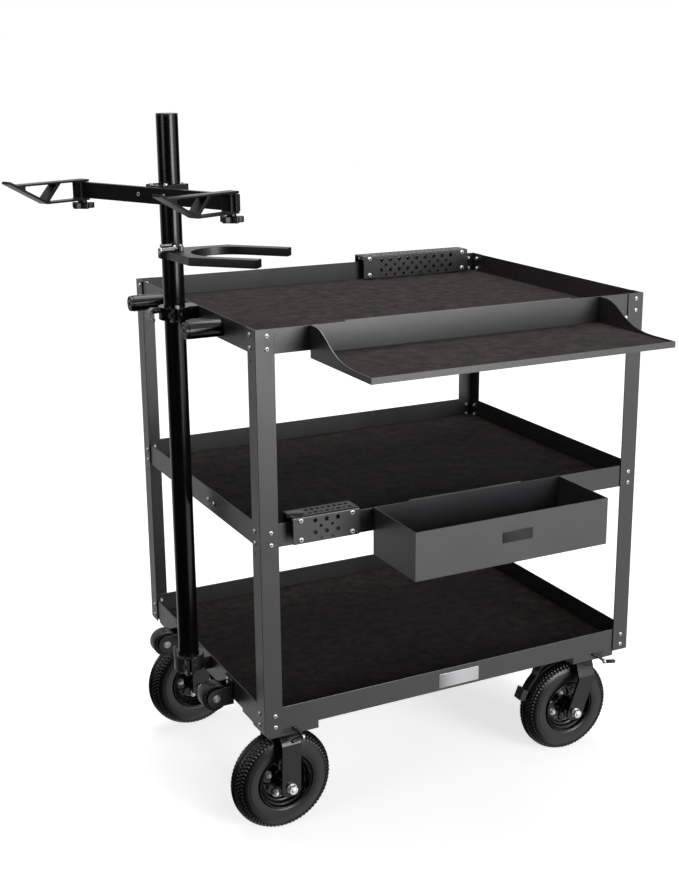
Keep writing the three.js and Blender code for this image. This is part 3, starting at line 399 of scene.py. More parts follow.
def tyreShell():
    # Closed casing turned about the axle: the outline r(s), w(s) runs bead to bead round the outside.
    # Lugs stand out along the outline's normal: height x block(angle) x row(s), staggered row by row.
    outline = np.array([(59.4, 20.5), (59.6, 23.6), (62.2, 26.0), (66, 27.2), (72, 28.0), (80, 28.2), (88, 27.2),
            (93.5, 25.6), (98, 23.4), (101.8, 20.8), (104.6, 17.8), (106.9, 14.4), (108.8, 10.4),
            (109.9, 6.2), (110.2, 2.0)])
    chord = np.r_[0, np.cumsum(np.linalg.norm(np.diff(outline, axis=0), axis=1))]
    s = np.linspace(0, chord[-1], 46)
    r, w = np.interp(s, chord, outline[:, 0]), np.interp(s, chord, outline[:, 1])
    r, w = np.r_[r, r[::-1]][:, None], np.r_[w, -w[::-1]][:, None]
    dr, dw = np.gradient(r, axis=0), np.gradient(w, axis=0)
    size = np.hypot(dr, dw)
    count = tread["lugs"] * tread["samples"]
    t = around(count)[None, :]
    phase = t * tread["lugs"] / (2 * np.pi)

    def blocks(start, share):
        # 1 on a lug and 0 in the gap, with short slopes
        return np.clip((share / 2 - np.abs(np.mod(phase + start, 1) - 0.5)) * tread["samples"], 0, 1)

    def row(low, high):
        away = np.minimum(np.abs(w) - low, high - np.abs(w))
        return np.clip(away / tread["slope"], 0, 1)

    lugs = 0
    for low, high, start, share, height in tread["rows"]:
        lugs = lugs + height * row(low, high) * blocks(start + np.sign(w) * 0.25, share)
    for k in range(3):
        middle = k * tread["ribPitch"]
        lugs = lugs + row(middle - tread["ribHalf"], middle + tread["ribHalf"]) * (1 - 0.5 * blocks(0.5 * k, 0.2))
    rings = sum(height * np.exp(-((r - middle) / spread) ** 2) for height, middle, spread in tread["rings"])
    height = tread["height"] * np.clip(lugs, 0, 1) + rings
    radius = np.minimum(r - dw / size * height, caster["wheelRadius"] - 0.02)
    return aboutZ(radius, w + dr / size * height, t)


rim = {"bolts": 4, "boltRing": 35, "seat": 5, "ribHeight": 2.2, "ribHalf": 2.4, "fork": 0.26}


def rimShell(segments=160):
    # Pressed rim, turned about the axle: rolled lip, bead ledge, well and dished disc, alike on both sides.
    # Ribs of a Y stand on the disc: height x bump of the angle from the rib's line, which forks beyond r 31.
    half = np.array([(59.3, 24.8), (60.2, 26), (60.2, 27.4), (59.3, 28.2), (58.1, 28), (57.2, 26.6), (56.4, 22.5),
            (54.6, 20.6), (52, 19.6), (50.8, 18.2), (50.2, 14), (49, 12.4), (46.4, 11.6), (45.2, 10.6),
            (44.6, 7.2), (43.2, 5.6), (41.5, 5), *[(r, 5) for r in range(39, 24, -2)],
            (22, 6.2), (19.5, 9.5), (18.4, 12.5), (18, 30), (17.4, 31), (14, 31), (13.6, 30.2),
            (13.6, 28.5), (9.2, 28.5), (8.8, 29.3), (8.8, 46), (6.4, 46)])
    outline = np.concatenate([half, half[::-1] * [1, -1]])
    t = around(segments)[None, :]
    r, w = outline[:, 0:1], outline[:, 1:2]
    step = 2 * np.pi / rim["bolts"]
    away = np.abs(np.mod(t, step) - step / 2)  # from the line midway between two bolts
    spread = np.clip((r - 31) / 13, 0, 1) * rim["fork"]
    bump = np.exp(-((away - spread) * r / rim["ribHalf"]) ** 2)
    onDisc = np.clip((r - 21) / 3, 0, 1) * np.clip((44.8 - r) / 2, 0, 1) * (np.abs(w) < 8)
    return aboutZ(r, w + np.sign(w) * rim["ribHeight"] * bump * onDisc, t)


def hexagon(across, t):
    # radius of a hexagon at each angle: half the width across flats / cos(angle from the flat's middle)
    return across / 2 / np.cos(np.mod(t, np.pi / 3) - np.pi / 6)


def hexNut(across, height, hole=0.0, count=36):
    # six-sided prism, its corners turned down by a cone at both ends
    t = around(count)
    reach = hexagon(across, t)
    cut = np.minimum(reach, across / 2 * 0.98)
    r = np.stack([np.full(count, 0.01), cut, reach, reach, cut, np.full(count, max(hole, 0.01))])
    z = np.array([0, 0, 0.12, 0.88, 1, 1])[:, None] * height
    return aboutZ(r, z, t)


def washer(radius, thickness, edge=0.3):
    return turned([(0, 0), (radius - edge, 0), (radius, edge), (radius, thickness - edge),
            (radius - edge, thickness), (0, thickness)], 40)


def threadedEnd(radius, length, pitch=0.7):
    # screw end: the radius swings between crest and root once a pitch
    count = 2 * max(4, int(length / pitch)) + 1
    r = radius - pitch / 2 * (np.arange(count) % 2)
    rows = np.c_[r, np.linspace(0, length - 0.6, count)]
    return turned(np.concatenate([[(0, 0)], rows, [(radius - 0.9, length), (0, length)]]), 20)


def socketHead(rows, across, top, depth, count=36):
    # turned head whose last rows follow a hexagon down a socket
    t = around(count)
    rows = np.asarray(rows, float)
    flat = hexagon(across, t)
    r = np.concatenate([np.repeat(rows[:, 0:1], count, 1), [flat, flat, np.full(count, 0.01)]])
    z = np.r_[rows[:, 1], top, top - depth, top - depth][:, None]
    return aboutZ(r, z, t)


def socketShadeDiscs(places, radius, depth):
    # painted shade: a black disc just above the metal floor of each socket darkens it; places are (way, point)
    # pairs of the heads
    return [lying(rod(radius, depth, depth + 0.25, 12), *place) for place in places]


def buttonHead(radius, height, count=24):
    # domed screw head with a hexagonal socket
    rows = [(0.01, 0), (radius, 0), (radius, height * 0.25), (radius * 0.86, height * 0.7),
            (radius * 0.62, height)]
    return socketHead(rows, radius * 0.84, height, height * 0.65, count)


def capHead(radius, height):
    # cylindrical screw head with a hexagonal socket
    rows = [(0.01, 0), (radius, 0), (radius, height - 0.5), (radius - 0.5, height)]
    return socketHead(rows, radius * 1.1, height, height * 0.6)


def legShell(hand, trail, flare):
    # Leg plate, mid-surface: path (y, z) down from the crown, bent outwards, then straight down past the axle;
    # its middle slides along X from the flare to the axle and its foot is cut back at both corners.
    z = np.r_[np.linspace(flare - 8, 104, 14), 100, 96, 93]
    path = np.array([(24, 235.5), (31, 235.5), (35.5, 234.3), (38.3, 231.6), (51.6, flare + 5),
            (52.8, flare + 1.5), (53.0, flare - 3), *[(53.0, height) for height in z]])
    y, z = path[:, 0:1], path[:, 1:2]
    middle = trail * np.clip((flare - 3 - z) / (flare - 115), 0, 1)
    half = caster["legHalf"] - np.clip((104 - z) / 11, 0, 1) * 9
    v = np.linspace(-1, 1, 9)[None, :]
    points = np.stack([middle + half * v, hand * y + 0 * v, z + 0 * v], axis=-1)
    return points.reshape(-1, 3), [gridFaces(len(path), 9)]


def makeCasters():
    tyre, rimPart = tyreShell(), rimShell()
    crown = plate(rounded(rectangle(-36, -34, 50, 34), 7), [], 233, 238, 0.8)
    race = turned([(0, 233), (27, 233), (33.5, 238.2), (35.6, 239.6), (36, 241.2), (35.4, 242.3), (32.5, 242.9),
            (32.5, 243.6), (34.6, 244.0), (34.6, 245.1), (0, 245.1)], 72)
    under = turned([(0, 226.5), (7, 226.5), (9.5, 229), (9.5, 233.2), (0, 233.2)], 32)
    ear = extruded(rounded([(46, 229.5), (58, 229.2), (64, 235), (58, 240.8), (46, 237.8)], 2.4), 0, 4)
    spacer = turned([(0, 46.4), (9.5, 46.4), (10, 46.9), (10, 49.2), (9.5, 49.6), (0, 49.6)], 32)
    for corner, spot in casterAt.items():
        trail, flare = caster["trail"][spot["side"]], caster["flare"][spot["side"]]
        forkBody, wheelBody = "fork_" + corner, "wheel_" + corner
        onSwivel = turn(spot["turn"], "Z"), shift(*spot["place"], 0), cart
        onWheel = toY, shift(trail, 0, caster["wheelRadius"]), *onSwivel
        makePiece("tyre_" + corner, [tyre], "tyre_rubber", wheelBody, onWheel, ["wheel_tyre_" + corner], sharp=50)
        spin = turn(spot["spin"], "Z")
        makePiece("rim_" + corner, [rimPart], "gloss_black", wheelBody, (spin, *onWheel), ["wheel_rim_" + corner],
                sharp=60)
        bolts = []
        for k in range(rim["bolts"]):
            ring = shift(rim["boltRing"], 0, 0), turn(360 / rim["bolts"] * k, "Z"), spin
            for hand, length in ((-1, 9.0), (1, 11.5)):
                face = turn(90 - 90 * hand, "X"), shift(0, 0, rim["seat"] * hand), *ring
                parts = washer(7.6, 1.4), moved(hexNut(12, 6.2, 4), shift(0, 0, 1.4)), threadedEnd(3.9, length)
                bolts += [moved(part, *face) for part in parts]
        makePiece("hubBolts_" + corner, bolts, "zinc_steel", wheelBody, onWheel)
        axle = [rod(6, -46.3, 46.3, 32)]
        for degrees in (0, 180):
            face = shift(0, 0, caster["nutSeat"]), turn(degrees, "X")
            parts = washer(11, 1.6), moved(hexNut(18, 9.5, 6), shift(0, 0, 1.6)), threadedEnd(5.8, 12.6)
            axle += [moved(part, *face) for part in parts] + [moved(spacer, turn(degrees, "X"))]
        makePiece("axle_" + corner, axle, "zinc_steel", forkBody, onWheel, ["caster_axle_" + corner])
        body = [crown, race, under]
        if spot["side"] > 0:
            body += [moved(ear, upright, shift(0, low + 4, 0)) for low in (-16.5, 12.5)]
            body.append(moved(rod(3, -17.6, 17.6), toY, shift(caster["hingeX"], 0, caster["hingeZ"])))
            makePedal(corner, onSwivel, trail)
        makePiece("fork_" + corner, body, "gloss_black", forkBody, onSwivel, ["caster_fork_" + corner], sharp=40)
        legs = [legShell(hand, trail, flare) for hand in (-1, 1)]
        makePiece("forkLegs_" + corner, legs, "gloss_black", forkBody, onSwivel, thickness=caster["legSheet"],
                bevel=0.8)
        makeLock(corner, spot)


def sideways(outline, half, aside=0.0):
    # prism of an outline (x, z) carried across Y
    points, faces = extruded(outline, -half, half)
    return np.stack([points[:, 0], points[:, 2] + aside, points[:, 1]], axis=-1), faces


def ribbon(line, half, halfThickness, aside=0.0):
    # strip of sheet: the line (x, z) given a thickness along its normal and carried across Y
    line = np.asarray(line, float)
    step = unit(np.gradient(line, axis=0))
    normal = np.c_[-step[:, 1], step[:, 0]] * halfThickness
    return sideways(np.concatenate([line + normal, (line - normal)[::-1]]), half, aside)


def curveThrough(points, count):
    # Catmull-Rom curve: on each span a cubic of the four points round it
    points = np.asarray(points, float)
    padded = np.concatenate([2 * points[:1] - points[1:2], points, 2 * points[-1:] - points[-2:-1]])
    t = np.linspace(0, len(points) - 1, count)
    i = np.minimum(t.astype(int), len(points) - 2)
    u = (t - i)[:, None]
    a, b, c, d = padded[i], padded[i + 1], padded[i + 2], padded[i + 3]
    return 0.5 * (2 * b + (c - a) * u + (2 * a - 5 * b + 4 * c - d) * u ** 2 + (3 * b - a - 3 * c + d) * u ** 3)


pedal = {"armRadius": 118.8, "armHalf": 11, "foot": 17, "padTop": 29, "padHalf": 13, "padIn": 117.4,
        "padOut": 132.5, "ribs": 6}


def makePedal(corner, onSwivel, trail):
    # pressed brake lever that follows the tread, with a ribbed foot block, hinged on the crown
    hinge, axle, foot = (caster["hingeX"], caster["hingeZ"]), (trail, caster["wheelRadius"]), pedal["foot"]
    sweep = circle(pedal["armRadius"], 6, axle, 47, foot - 47, False)
    line = curveThrough(np.concatenate([[hinge, (80, 229), (100.2, 218.8)], sweep]), 48)
    barrel = turned([(3.2, -12), (5.6, -12), (6, -11.6), (6, 11.6), (5.6, 12), (3.2, 12)], 28, True)
    lever = [ribbon(line, pedal["armHalf"], 1.8), moved(barrel, toY, shift(hinge[0], 0, hinge[1]))]
    lever += [ribbon(line[4:], 1.2, 2.4, aside) for aside in (-9.8, 9.8)]
    makePiece("brakeLever_" + corner, lever, "gloss_black", "pedal_" + corner, onSwivel, sharp=50)
    t = np.linspace(0, 1, 72)[:, None]
    angle = np.radians(pedal["padTop"] + (foot - pedal["padTop"]) * t)
    outer = pedal["padOut"] + 0.8 * np.clip(np.sin(2 * np.pi * pedal["ribs"] * t) * 2.5, -1, 1)
    way = np.c_[np.cos(angle), np.sin(angle)]
    outline = np.concatenate([axle + way * outer, (axle + way * pedal["padIn"])[::-1]])
    makePiece("brakeTread_" + corner, [sideways(outline, pedal["padHalf"])], "black_plastic", "pedal_" + corner,
            onSwivel, ["brake_pedal_" + corner], bevel=0.8)


lock = {"pinZ": 259.5, "ballDrop": 16.5, "ballY": -87.3, "ballOut": {-1: 13, 1: 22},
        "gripOut": {-1: -31, 1: 23.5}}


def makeLock(corner, spot):
    # swivel lock: a bent lever from the pad's outer face, a bright ball joint and a moulded grip
    pinZ, out = lock["pinZ"], lock["gripOut"][spot["side"]]
    steps = Matrix.Diagonal((1, -spot["end"], 1, 1)), shift(*spot["place"], 0), cart
    ballX, ballY, ballZ = lock["ballOut"][spot["side"]], lock["ballY"], pinZ - lock["ballDrop"]
    hub = turned([(0, -5), (4.1, -5), (4.5, -4.6), (4.5, -0.4), (4.1, 0), (0, 0)], 32)
    path = curveThrough([(0, -75, pinZ), (ballX * 0.35, -79, pinZ - 4), (ballX * 0.8, -84, ballZ + 5),
            (ballX, ballY, ballZ)], 12)
    length = math.hypot(out, 10)
    grip = turned([(0, 2), (3.4, 2.4), (4.2, 4), (4.4, length * 0.5), (4.3, length - 2.5), (3.4, length - 0.7),
            (1.6, length), (0, length)], 28)
    joint = shift(ballX, ballY, ballZ)
    parts = [moved(hub, toY, shift(0, -72.3, pinZ)), swept(path, circle(3.0, 16)),
            moved(grip, pointing(out, -10, 0), joint)]
    body = "lock_" + corner
    makePiece("lockGrip_" + corner, parts, "black_plastic", body, steps, ["swivel_lock_" + corner], sharp=50)
    makePiece("lockBall_" + corner, [moved(ball(5, 17), joint)], "zinc_steel", body, steps, sharp=60)


makeCasters()
print("stage: casters made")


frameSize = {"halfWidth": 457, "halfDepth": 352.5, "foot": 260, "wallX": 454.5, "wallY": 349.7, "sheet": 2,
        "screwX": {-1: -433.5, 1: 437.5}, "screwY": 326,
        "screwHeights": [825.9, 800.4, 433.2, 408.0, 39.2, 14.6]}
trayPlate = rectangle(-47, 271, 53, 303)
binPlate = rectangle(-7, 654, 65, 678)


def makeFrame():
    # folded sheet: posts, trays, pads, shelf, bin and mats are the solids with rolled edges; screws are added
    soften([name for name in nodes if name.startswith(("post_", "caster_pad")) or name.endswith("_tray")], 0.8)
    soften(["keyboard_shelf", "front_bin"], 0.7)
    soften([name for name in nodes if name.endswith("_mat")], 0.6)
    spots, ends = [], []
    wallX, wallY, sheet = frameSize["wallX"], frameSize["wallY"], frameSize["sheet"]
    for handX, handY in ((-1, -1), (-1, 1), (1, -1), (1, 1)):
        x, y = frameSize["screwX"][handX], handY * frameSize["screwY"]
        for height in frameSize["screwHeights"]:
            z = frameSize["foot"] + height
            pair = (("y", handY, (x, handY * frameSize["halfDepth"], z), (x, handY * (wallY - sheet), z)),
                    ("x", handX, (handX * frameSize["halfWidth"], y, z), (handX * (wallX - sheet), y, z)))
            for axis, hand, outside, inside in pair:
                spots.append((towards(axis, hand), outside))
                nut = hexNut(8, 3.6, 4), threadedEnd(2.4, 6)
                ends += [lying(part, towards(axis, -hand), inside) for part in nut]
    spots += [("-x", (-wallX + 0.2, y, 681)) for y in (-62, -96)]
    heads = [lying(buttonHead(4.9, 2.6), *spot) for spot in spots]
    makePiece("postScrews", heads, "zinc_steel", "frame", [cart], sharp=40)
    # black discs in the post screws' sockets: painted shade
    makePiece("postSocketShade", socketShadeDiscs(spots, 1.9, 1.6), "black_plastic", "frame", [cart])
    makePiece("trayNuts", ends, "zinc_steel", "frame", [cart], sharp=40)
    for name, outline, y, finish, body in (("bareTrayPlate", trayPlate, -wallY, "barePlate", "frame"),
            ("bareBinPlate", binPlate, -526, "anodised_black", "bin")):
        sheet = plate(rounded(outline, 1.5), [], 0, 0.8, 0.2)
        makePiece(name, [sheet], finish, body, (upright, shift(0, y, 0), cart))


handle = {"y": 172, "z": 1073.3, "length": 77.3}


def makeHandles():
    # tube with a turned end plug: groove, raised ring and a hexagonal socket
    rows = [(0.01, 0), (17.7, 0), (17.7, 70.2), (17.2, 70.9), (16.2, 71.1), (16.2, 71.9), (16.7, 72.4),
            (16.7, 76.5), (15.9, 77.3), (13.6, 77.3), (13.2, 76.9), (12.8, 75.2), (10.2, 75.2), (9.8, 76.9),
            (9.2, 77.3), (6.6, 77.3)]
    grip = socketHead(rows, 10, handle["length"], 4, 72)
    for name, hand in (("front", -1), ("back", 1)):
        laid = lying(grip, "-x", (-frameSize["wallX"], hand * handle["y"], handle["z"]))
        stands = ["handle_" + name]
        makePiece("handle_" + name + "_turned", [laid], "gloss_black", "frame", [cart], stands, sharp=30)


stand = {"place": (-499, -28), "foot": 294, "tip": 1485, "radius": 22, "collar": 33, "bore": 22.4,
        "collarLow": 1071, "collarHigh": 1098, "knobZ": 1091.5}


def onPole(z=0, degrees=0):
    return turn(degrees, "Z"), shift(*stand["place"], z), cart


def collarOutline():
    # C-shaped ring with its arm to +X and a split lug to -Y
    outer = circle(stand["collar"], 60, (0, 0), -84.8, 47.5, False)
    outer = outer[outer[:, 1] < -19.9]
    rest = circle(stand["collar"], 110, (0, 0), 37.3, 193.2, False)
    inner = circle(stand["bore"], 90, (0, 0), 229.5, -344.0, False)
    return np.concatenate([[(-9.5, -43), (-3, -43)], outer, [(44.5, -20), (44.5, 20)], rest,
            [(-21, -43), (-14.5, -43)], inner])


def knurledKnob(count=80):
    # turned knob with a hollow end, the radius of its side swinging step by step
    t = around(count)
    side = 6.5 - 0.35 * (np.arange(count) % 2)
    r = np.stack([side if width is None else np.full(count, width)
            for width in (0.01, 5.4, None, None, 5.4, 2.4, 2.2, 0.01)])
    z = np.array([0, 0, 1.1, 11.9, 13, 13, 11.4, 11.4])[:, None]
    return aboutZ(r, z, t, False)


def makePole():
    radius, foot, tip, bore = stand["radius"], stand["foot"], stand["tip"], stand["bore"]
    tube = turned([(18, foot), (21.4, foot), (radius, foot + 0.6), (radius, tip - 4.4), (21.7, tip - 4.0),
            (21.7, tip - 3.4), (radius, tip - 3.0), (radius, tip - 0.9), (21.1, tip), (19.2, tip),
            (18.8, tip - 0.6), (0, tip - 0.6), (0, tip - 5), (19, tip - 5), (19, foot)], 96)
    makePiece("poleTube", [tube], "gloss_black", "mast", onPole(), ["pole"], sharp=30)
    cup = turned([(0, 288.7), (32, 288.7), (33, 289.7), (33, 323), (32, 324), (23.2, 324), (bore, 323.2),
            (bore, 293.7), (0, 293.7)], 84)
    tab = plate(rounded(rectangle(-6, 300, 6, 344), 2), [circle(2.2, 20, (0, 338))], 0, 4, 0.5)
    parts = [cup, block((27, -20, 284), (44.5, 20, 314)), moved(tab, upright, toYZ, shift(-33, 0, 0)),
            block((-21, -43, 288.7), (-14.4, -26, 324)), block((-9.6, -43, 288.7), (-3, -29, 324))]
    makePiece("poleCup", parts, "powder_coat", "frame", onPole(), ["pole_socket"], bevel=0.8)
    collar = plate(collarOutline(), [], stand["collarLow"], stand["collarHigh"], 0.8)
    boss = turned([(0, 0), (6, 0), (6, 6.5), (5.4, 7), (4, 7), (4, 4), (0, 4)], 40)
    parts = [collar, lying(boss, "-x", (-29, 0, stand["knobZ"]))]
    makePiece("splitCollar", parts, "gloss_black", "frame", onPole(), ["pole_clamp"], level=True)
    dark = []
    for z in (1084.5, 308):
        dark += [lying(capHead(4.6, 5), "x", (-3, -36.5, z)), lying(hexNut(9, 4.5, 5), "-x", (-21, -36.5, z)),
                lying(threadedEnd(2.9, 20), "-x", (-6, -36.5, z))]
    makePiece("collarBolts", dark, "anodised_black", "frame", onPole(), sharp=40)
    top = moved(capHead(4.2, 4.6), shift(-4, -28, stand["collarHigh"] - 0.2))
    makePiece("collarScrew", [top], "zinc_steel", "frame", onPole(), sharp=40)
    parts = [lying(rod(2.9, 0, 12), "-x", (-28, 0, 0)), lying(knurledKnob(), "-x", (-36.3, 0, 0)),
            moved(ball(4.2, 15), shift(-46.5, 0, -20))]
    makePiece("clampKnob", parts, "black_plastic", "knob", onPole(stand["knobZ"]), ["clamp_knob"], sharp=50)
    hook = ribbon(circle(12, 30, (-47.3, -8), 90, 180, False), 4.5, 2.4)
    makePiece("clampHook", [hook], "blastedSteel", "knob", onPole(stand["knobZ"]), bevel=0.8, sharp=50)


roller = {"x": -493.5, "y": 157, "z": 275.5, "half": 21.5, "ear": 4}


def makeRollers():
    # lift rollers: a rubber roll with a hub between two round ears on a plate screwed to the tray's wall
    roll = [(5.4, 16.4), (10.5, 16.4), (11.2, 15.2), (21.5, 15.2), (22.2, 16.4), (24.5, 17), (27.3, 17),
            (28.9, 16.2), (29.5, 14.6)]
    roll = moved(turned(np.concatenate([roll, np.array(roll[::-1]) * [1, -1]]), 72, True), toY)
    half, sheet = roller["half"], roller["ear"]
    ear = np.concatenate([[(39, -20), (39, 20)], circle(20, 30, (0, 0), 90, 180, False)])
    ear = moved(plate(ear, [], 0, sheet, 0.6), upright)
    base = moved(plate(rounded(rectangle(-half, -7.5, half, 34.5), 2), [], 0, sheet, 0.6), upright, toYZ)
    frames = [moved(ear, shift(0, sheet - half, 0)), moved(ear, shift(0, half, 0)), moved(base, shift(35, 0, 0))]
    for name, hand in (("front", -1), ("back", 1)):
        place = shift(roller["x"], hand * roller["y"], roller["z"]), cart
        makePiece("liftRoll_" + name, [roll], "roller_rubber", "roller_" + name, place, ["lift_roller_" + name])
        makePiece("rollerEars_" + name, frames, "powder_coat", "frame", place, ["roller_bracket_" + name],
                level=True)
        pin = [lying(rod(5, -half, half, 28), "y", (0, 0, 0))]
        for side in (1, -1):
            way = towards("y", side)
            pin += [lying(washer(8, 1.2), way, (0, side * half, 0)),
                    lying(capHead(5.4, 5), way, (0, side * (half + 1.2), 0))]
        pin += [lying(buttonHead(3.6, 2.2), "-x", (35, -4 * hand, z)) for z in (29.5, 21.1)]
        makePiece("rollerPin_" + name, pin, "zinc_steel", "frame", place, sharp=40)


holder = {"turn": -44, "low": 1197.5, "high": 1214.5, "tip": 223, "half": 100, "throat": 75, "throatX": 123,
        "pin": (4, -38), "barrelAt": (-12, -44, 1220.6), "barrelWay": (-32, -7, 0)}


def makeFork():
    # forked plate on a ring round the pole, with its clamp lever
    tip, half, throat = holder["tip"], holder["half"], holder["throat"]
    side = [(12, 38), (80, half), (tip - 4, half), (tip - 1, half - 1), (tip, half - 4), (tip, throat)]
    bay = circle(throat, 60, (holder["throatX"], 0), 270, -180, False)
    ring = circle(29, 40, (0, 0), 90, 180, False)
    outline = np.concatenate([np.array(side) * [1, -1], bay, side[::-1], ring])
    body = plate(outline, [circle(22.3, 72)], holder["low"], holder["high"], 0.9)
    place = onPole(0, holder["turn"])
    makePiece("forkPlate", [body], "anodised_black", "fork_plate", place, ["fork_holder"], level=True)
    pinAt = shift(*holder["pin"], 0)
    pin = turned([(0, 1205), (3, 1205), (3, 1227.6), (2.4, 1228.2), (0, 1228.2)], 24)
    makePiece("leverPin", [moved(pin, pinAt)], "zinc_steel", "fork_plate", onPole(), sharp=40)
    onBarrel = pointing(*holder["barrelWay"]), shift(*holder["barrelAt"])
    barrel = turned([(0, 0), (4.8, 0), (5.4, 0.6), (5.4, 28.5), (5.0, 29), (5.0, 30), (0, 30)], 40)
    low = turned([(0, 0), (2.6, 0), (3.2, 0.5), (3.2, 23.5), (2.6, 24.2), (0, 24.2)], 32)
    hub = turned([(3.2, 1214.9), (6, 1214.9), (6.5, 1215.5), (6.5, 1226.2), (6, 1226.8), (3.2, 1226.8)], 40, True)
    parts = [moved(barrel, *onBarrel), lying(low, "-x", (-13, -35, 1227.6)), moved(hub, pinAt),
            lying(rod(2.1, 0, 16, 20), "-x", (2, -38, 1221))]
    makePiece("leverBarrel", parts, "blastedSteel", "lever", onPole(), ["fork_lever"])
    ring = turned([(3.0, 30), (5.2, 30), (5.8, 30.5), (5.8, 33), (5.2, 33.6), (3.6, 33.6), (3.0, 32.6)], 40, True)
    parts = [moved(ring, *onBarrel), moved(rod(3.1, 29.5, 31.5), *onBarrel),
            moved(ball(3.6, 15), shift(-10.5, -44, 1225.4))]
    makePiece("leverRing", parts, "zinc_steel", "lever", onPole(), sharp=40)


crossBar = {"turn": 205, "low": 1310.3, "high": 1342.7, "top": 1345, "half": 230, "back": 40, "front": 52,
        "boltY": 35.8, "boltZ": 1327.6, "armY": 211.5, "armHalf": 13, "knobX": 46}
star = {"lobes": 5, "radius": 15, "lobe": 9, "low": 1288, "high": 1300}


def starOutline(count=120):
    # r = radius + lobe (1 + cos(lobes t)) / 2: round lobes
    t = around(count)
    r = star["radius"] + star["lobe"] * (1 + np.cos(star["lobes"] * t)) / 2
    return np.c_[r * np.cos(t), r * np.sin(t)]


def makeCrossBar():
    # flat bar on a split block round the pole, with two sliding truss arms and their star knobs
    place = onPole(0, crossBar["turn"])
    low, high, half, back, front = [crossBar[key] for key in ("low", "high", "half", "back", "front")]
    parts = [block((back, -half, low), (front, half, high))]
    parts += [block((-24, y, low), (37, y + 4, 1347)) for y in (-30, 26)]
    makePiece("flatBar", parts, "anodised_black", "bar", place, ["cross_bar"], bevel=1.0)
    body = plate(rounded(rectangle(-27, -26, 40.2, 26), 1.5), [circle(22.4, 72)], low, crossBar["top"], 0.8)
    makePiece("barBlock", [body], "anodised_black", "bar", place, level=True)
    ring = turned([(2.2, 0), (4.2, 0), (4.2, 0.8), (3.8, 1.2), (2.8, 1.2), (2.2, 0.6)], 40, True)
    bright = []
    for y in (-crossBar["boltY"], crossBar["boltY"]):
        bright.append(lying(ring, "x", (front, y, crossBar["boltZ"])))
        bright.append(lying(hexNut(9, 4.6, 4), "-x", (back, y, crossBar["boltZ"])))
    for x, y in ((30, -20), (30, 20), (-20, -19), (-20, 19)):
        bright.append(moved(capHead(4.2, 4.5), shift(x, y, 1344.9)))
    makePiece("barBolts", bright, "zinc_steel", "bar", place, sharp=40)
    outline = [(36.5, 1305), (148, 1305), (238.5, 1351), (236, 1356), (221, 1348), (36.5, 1348), (36.5, 1343),
            (52.3, 1343), (52.3, 1310), (36.5, 1310)]
    windows = [rounded([(60, 1309), (144, 1309), (111, 1344), (60, 1344)], 2.5),
            rounded([(152, 1313), (200, 1337), (200, 1344), (121, 1344)], 1.5)]
    arm = moved(plate(rounded(outline, 0.8, 3), windows, -crossBar["armHalf"], crossBar["armHalf"], 0.9), upright)
    knob = plate(starOutline(), [], star["low"], star["high"], 1.6)
    neck = turned([(0, 1299), (11, 1299), (9.5, 1300.6), (9, 1304.7), (0, 1304.7)], 40)
    cap = turned([(0, 1286.6), (7, 1286.6), (8, 1287.4), (8, 1289), (0, 1289)], 36)
    for name, hand in (("front", 1), ("back", -1)):
        seat = shift(0, hand * crossBar["armY"], 0), *place
        onKnob = shift(crossBar["knobX"], 0, 0), *seat
        makePiece("trussArm_" + name, [arm], "anodised_black", "truss_" + name, seat, ["arm_" + name], level=True)
        makePiece("starKnob_" + name, [knob, neck], "black_plastic", "star_" + name, onKnob, ["arm_knob_" + name],
                level=True)
        screw = [cap, rod(3.5, 1304, 1309)]
        makePiece("starScrew_" + name, screw, "zinc_steel", "star_" + name, onKnob, sharp=40)


bracket = {"half": 25, "rise": 15, "drop": 41, "sheet": 3, "roll": 3.5, "disc": 16, "hole": 4.5,
        "smallHole": 3.2, "pitch": 25, "blockIn": 18,
        "short": {"place": (-322.5, -348.7, 709), "length": 145},
        "long": {"place": (270, 348.7, 1098), "length": 300}}


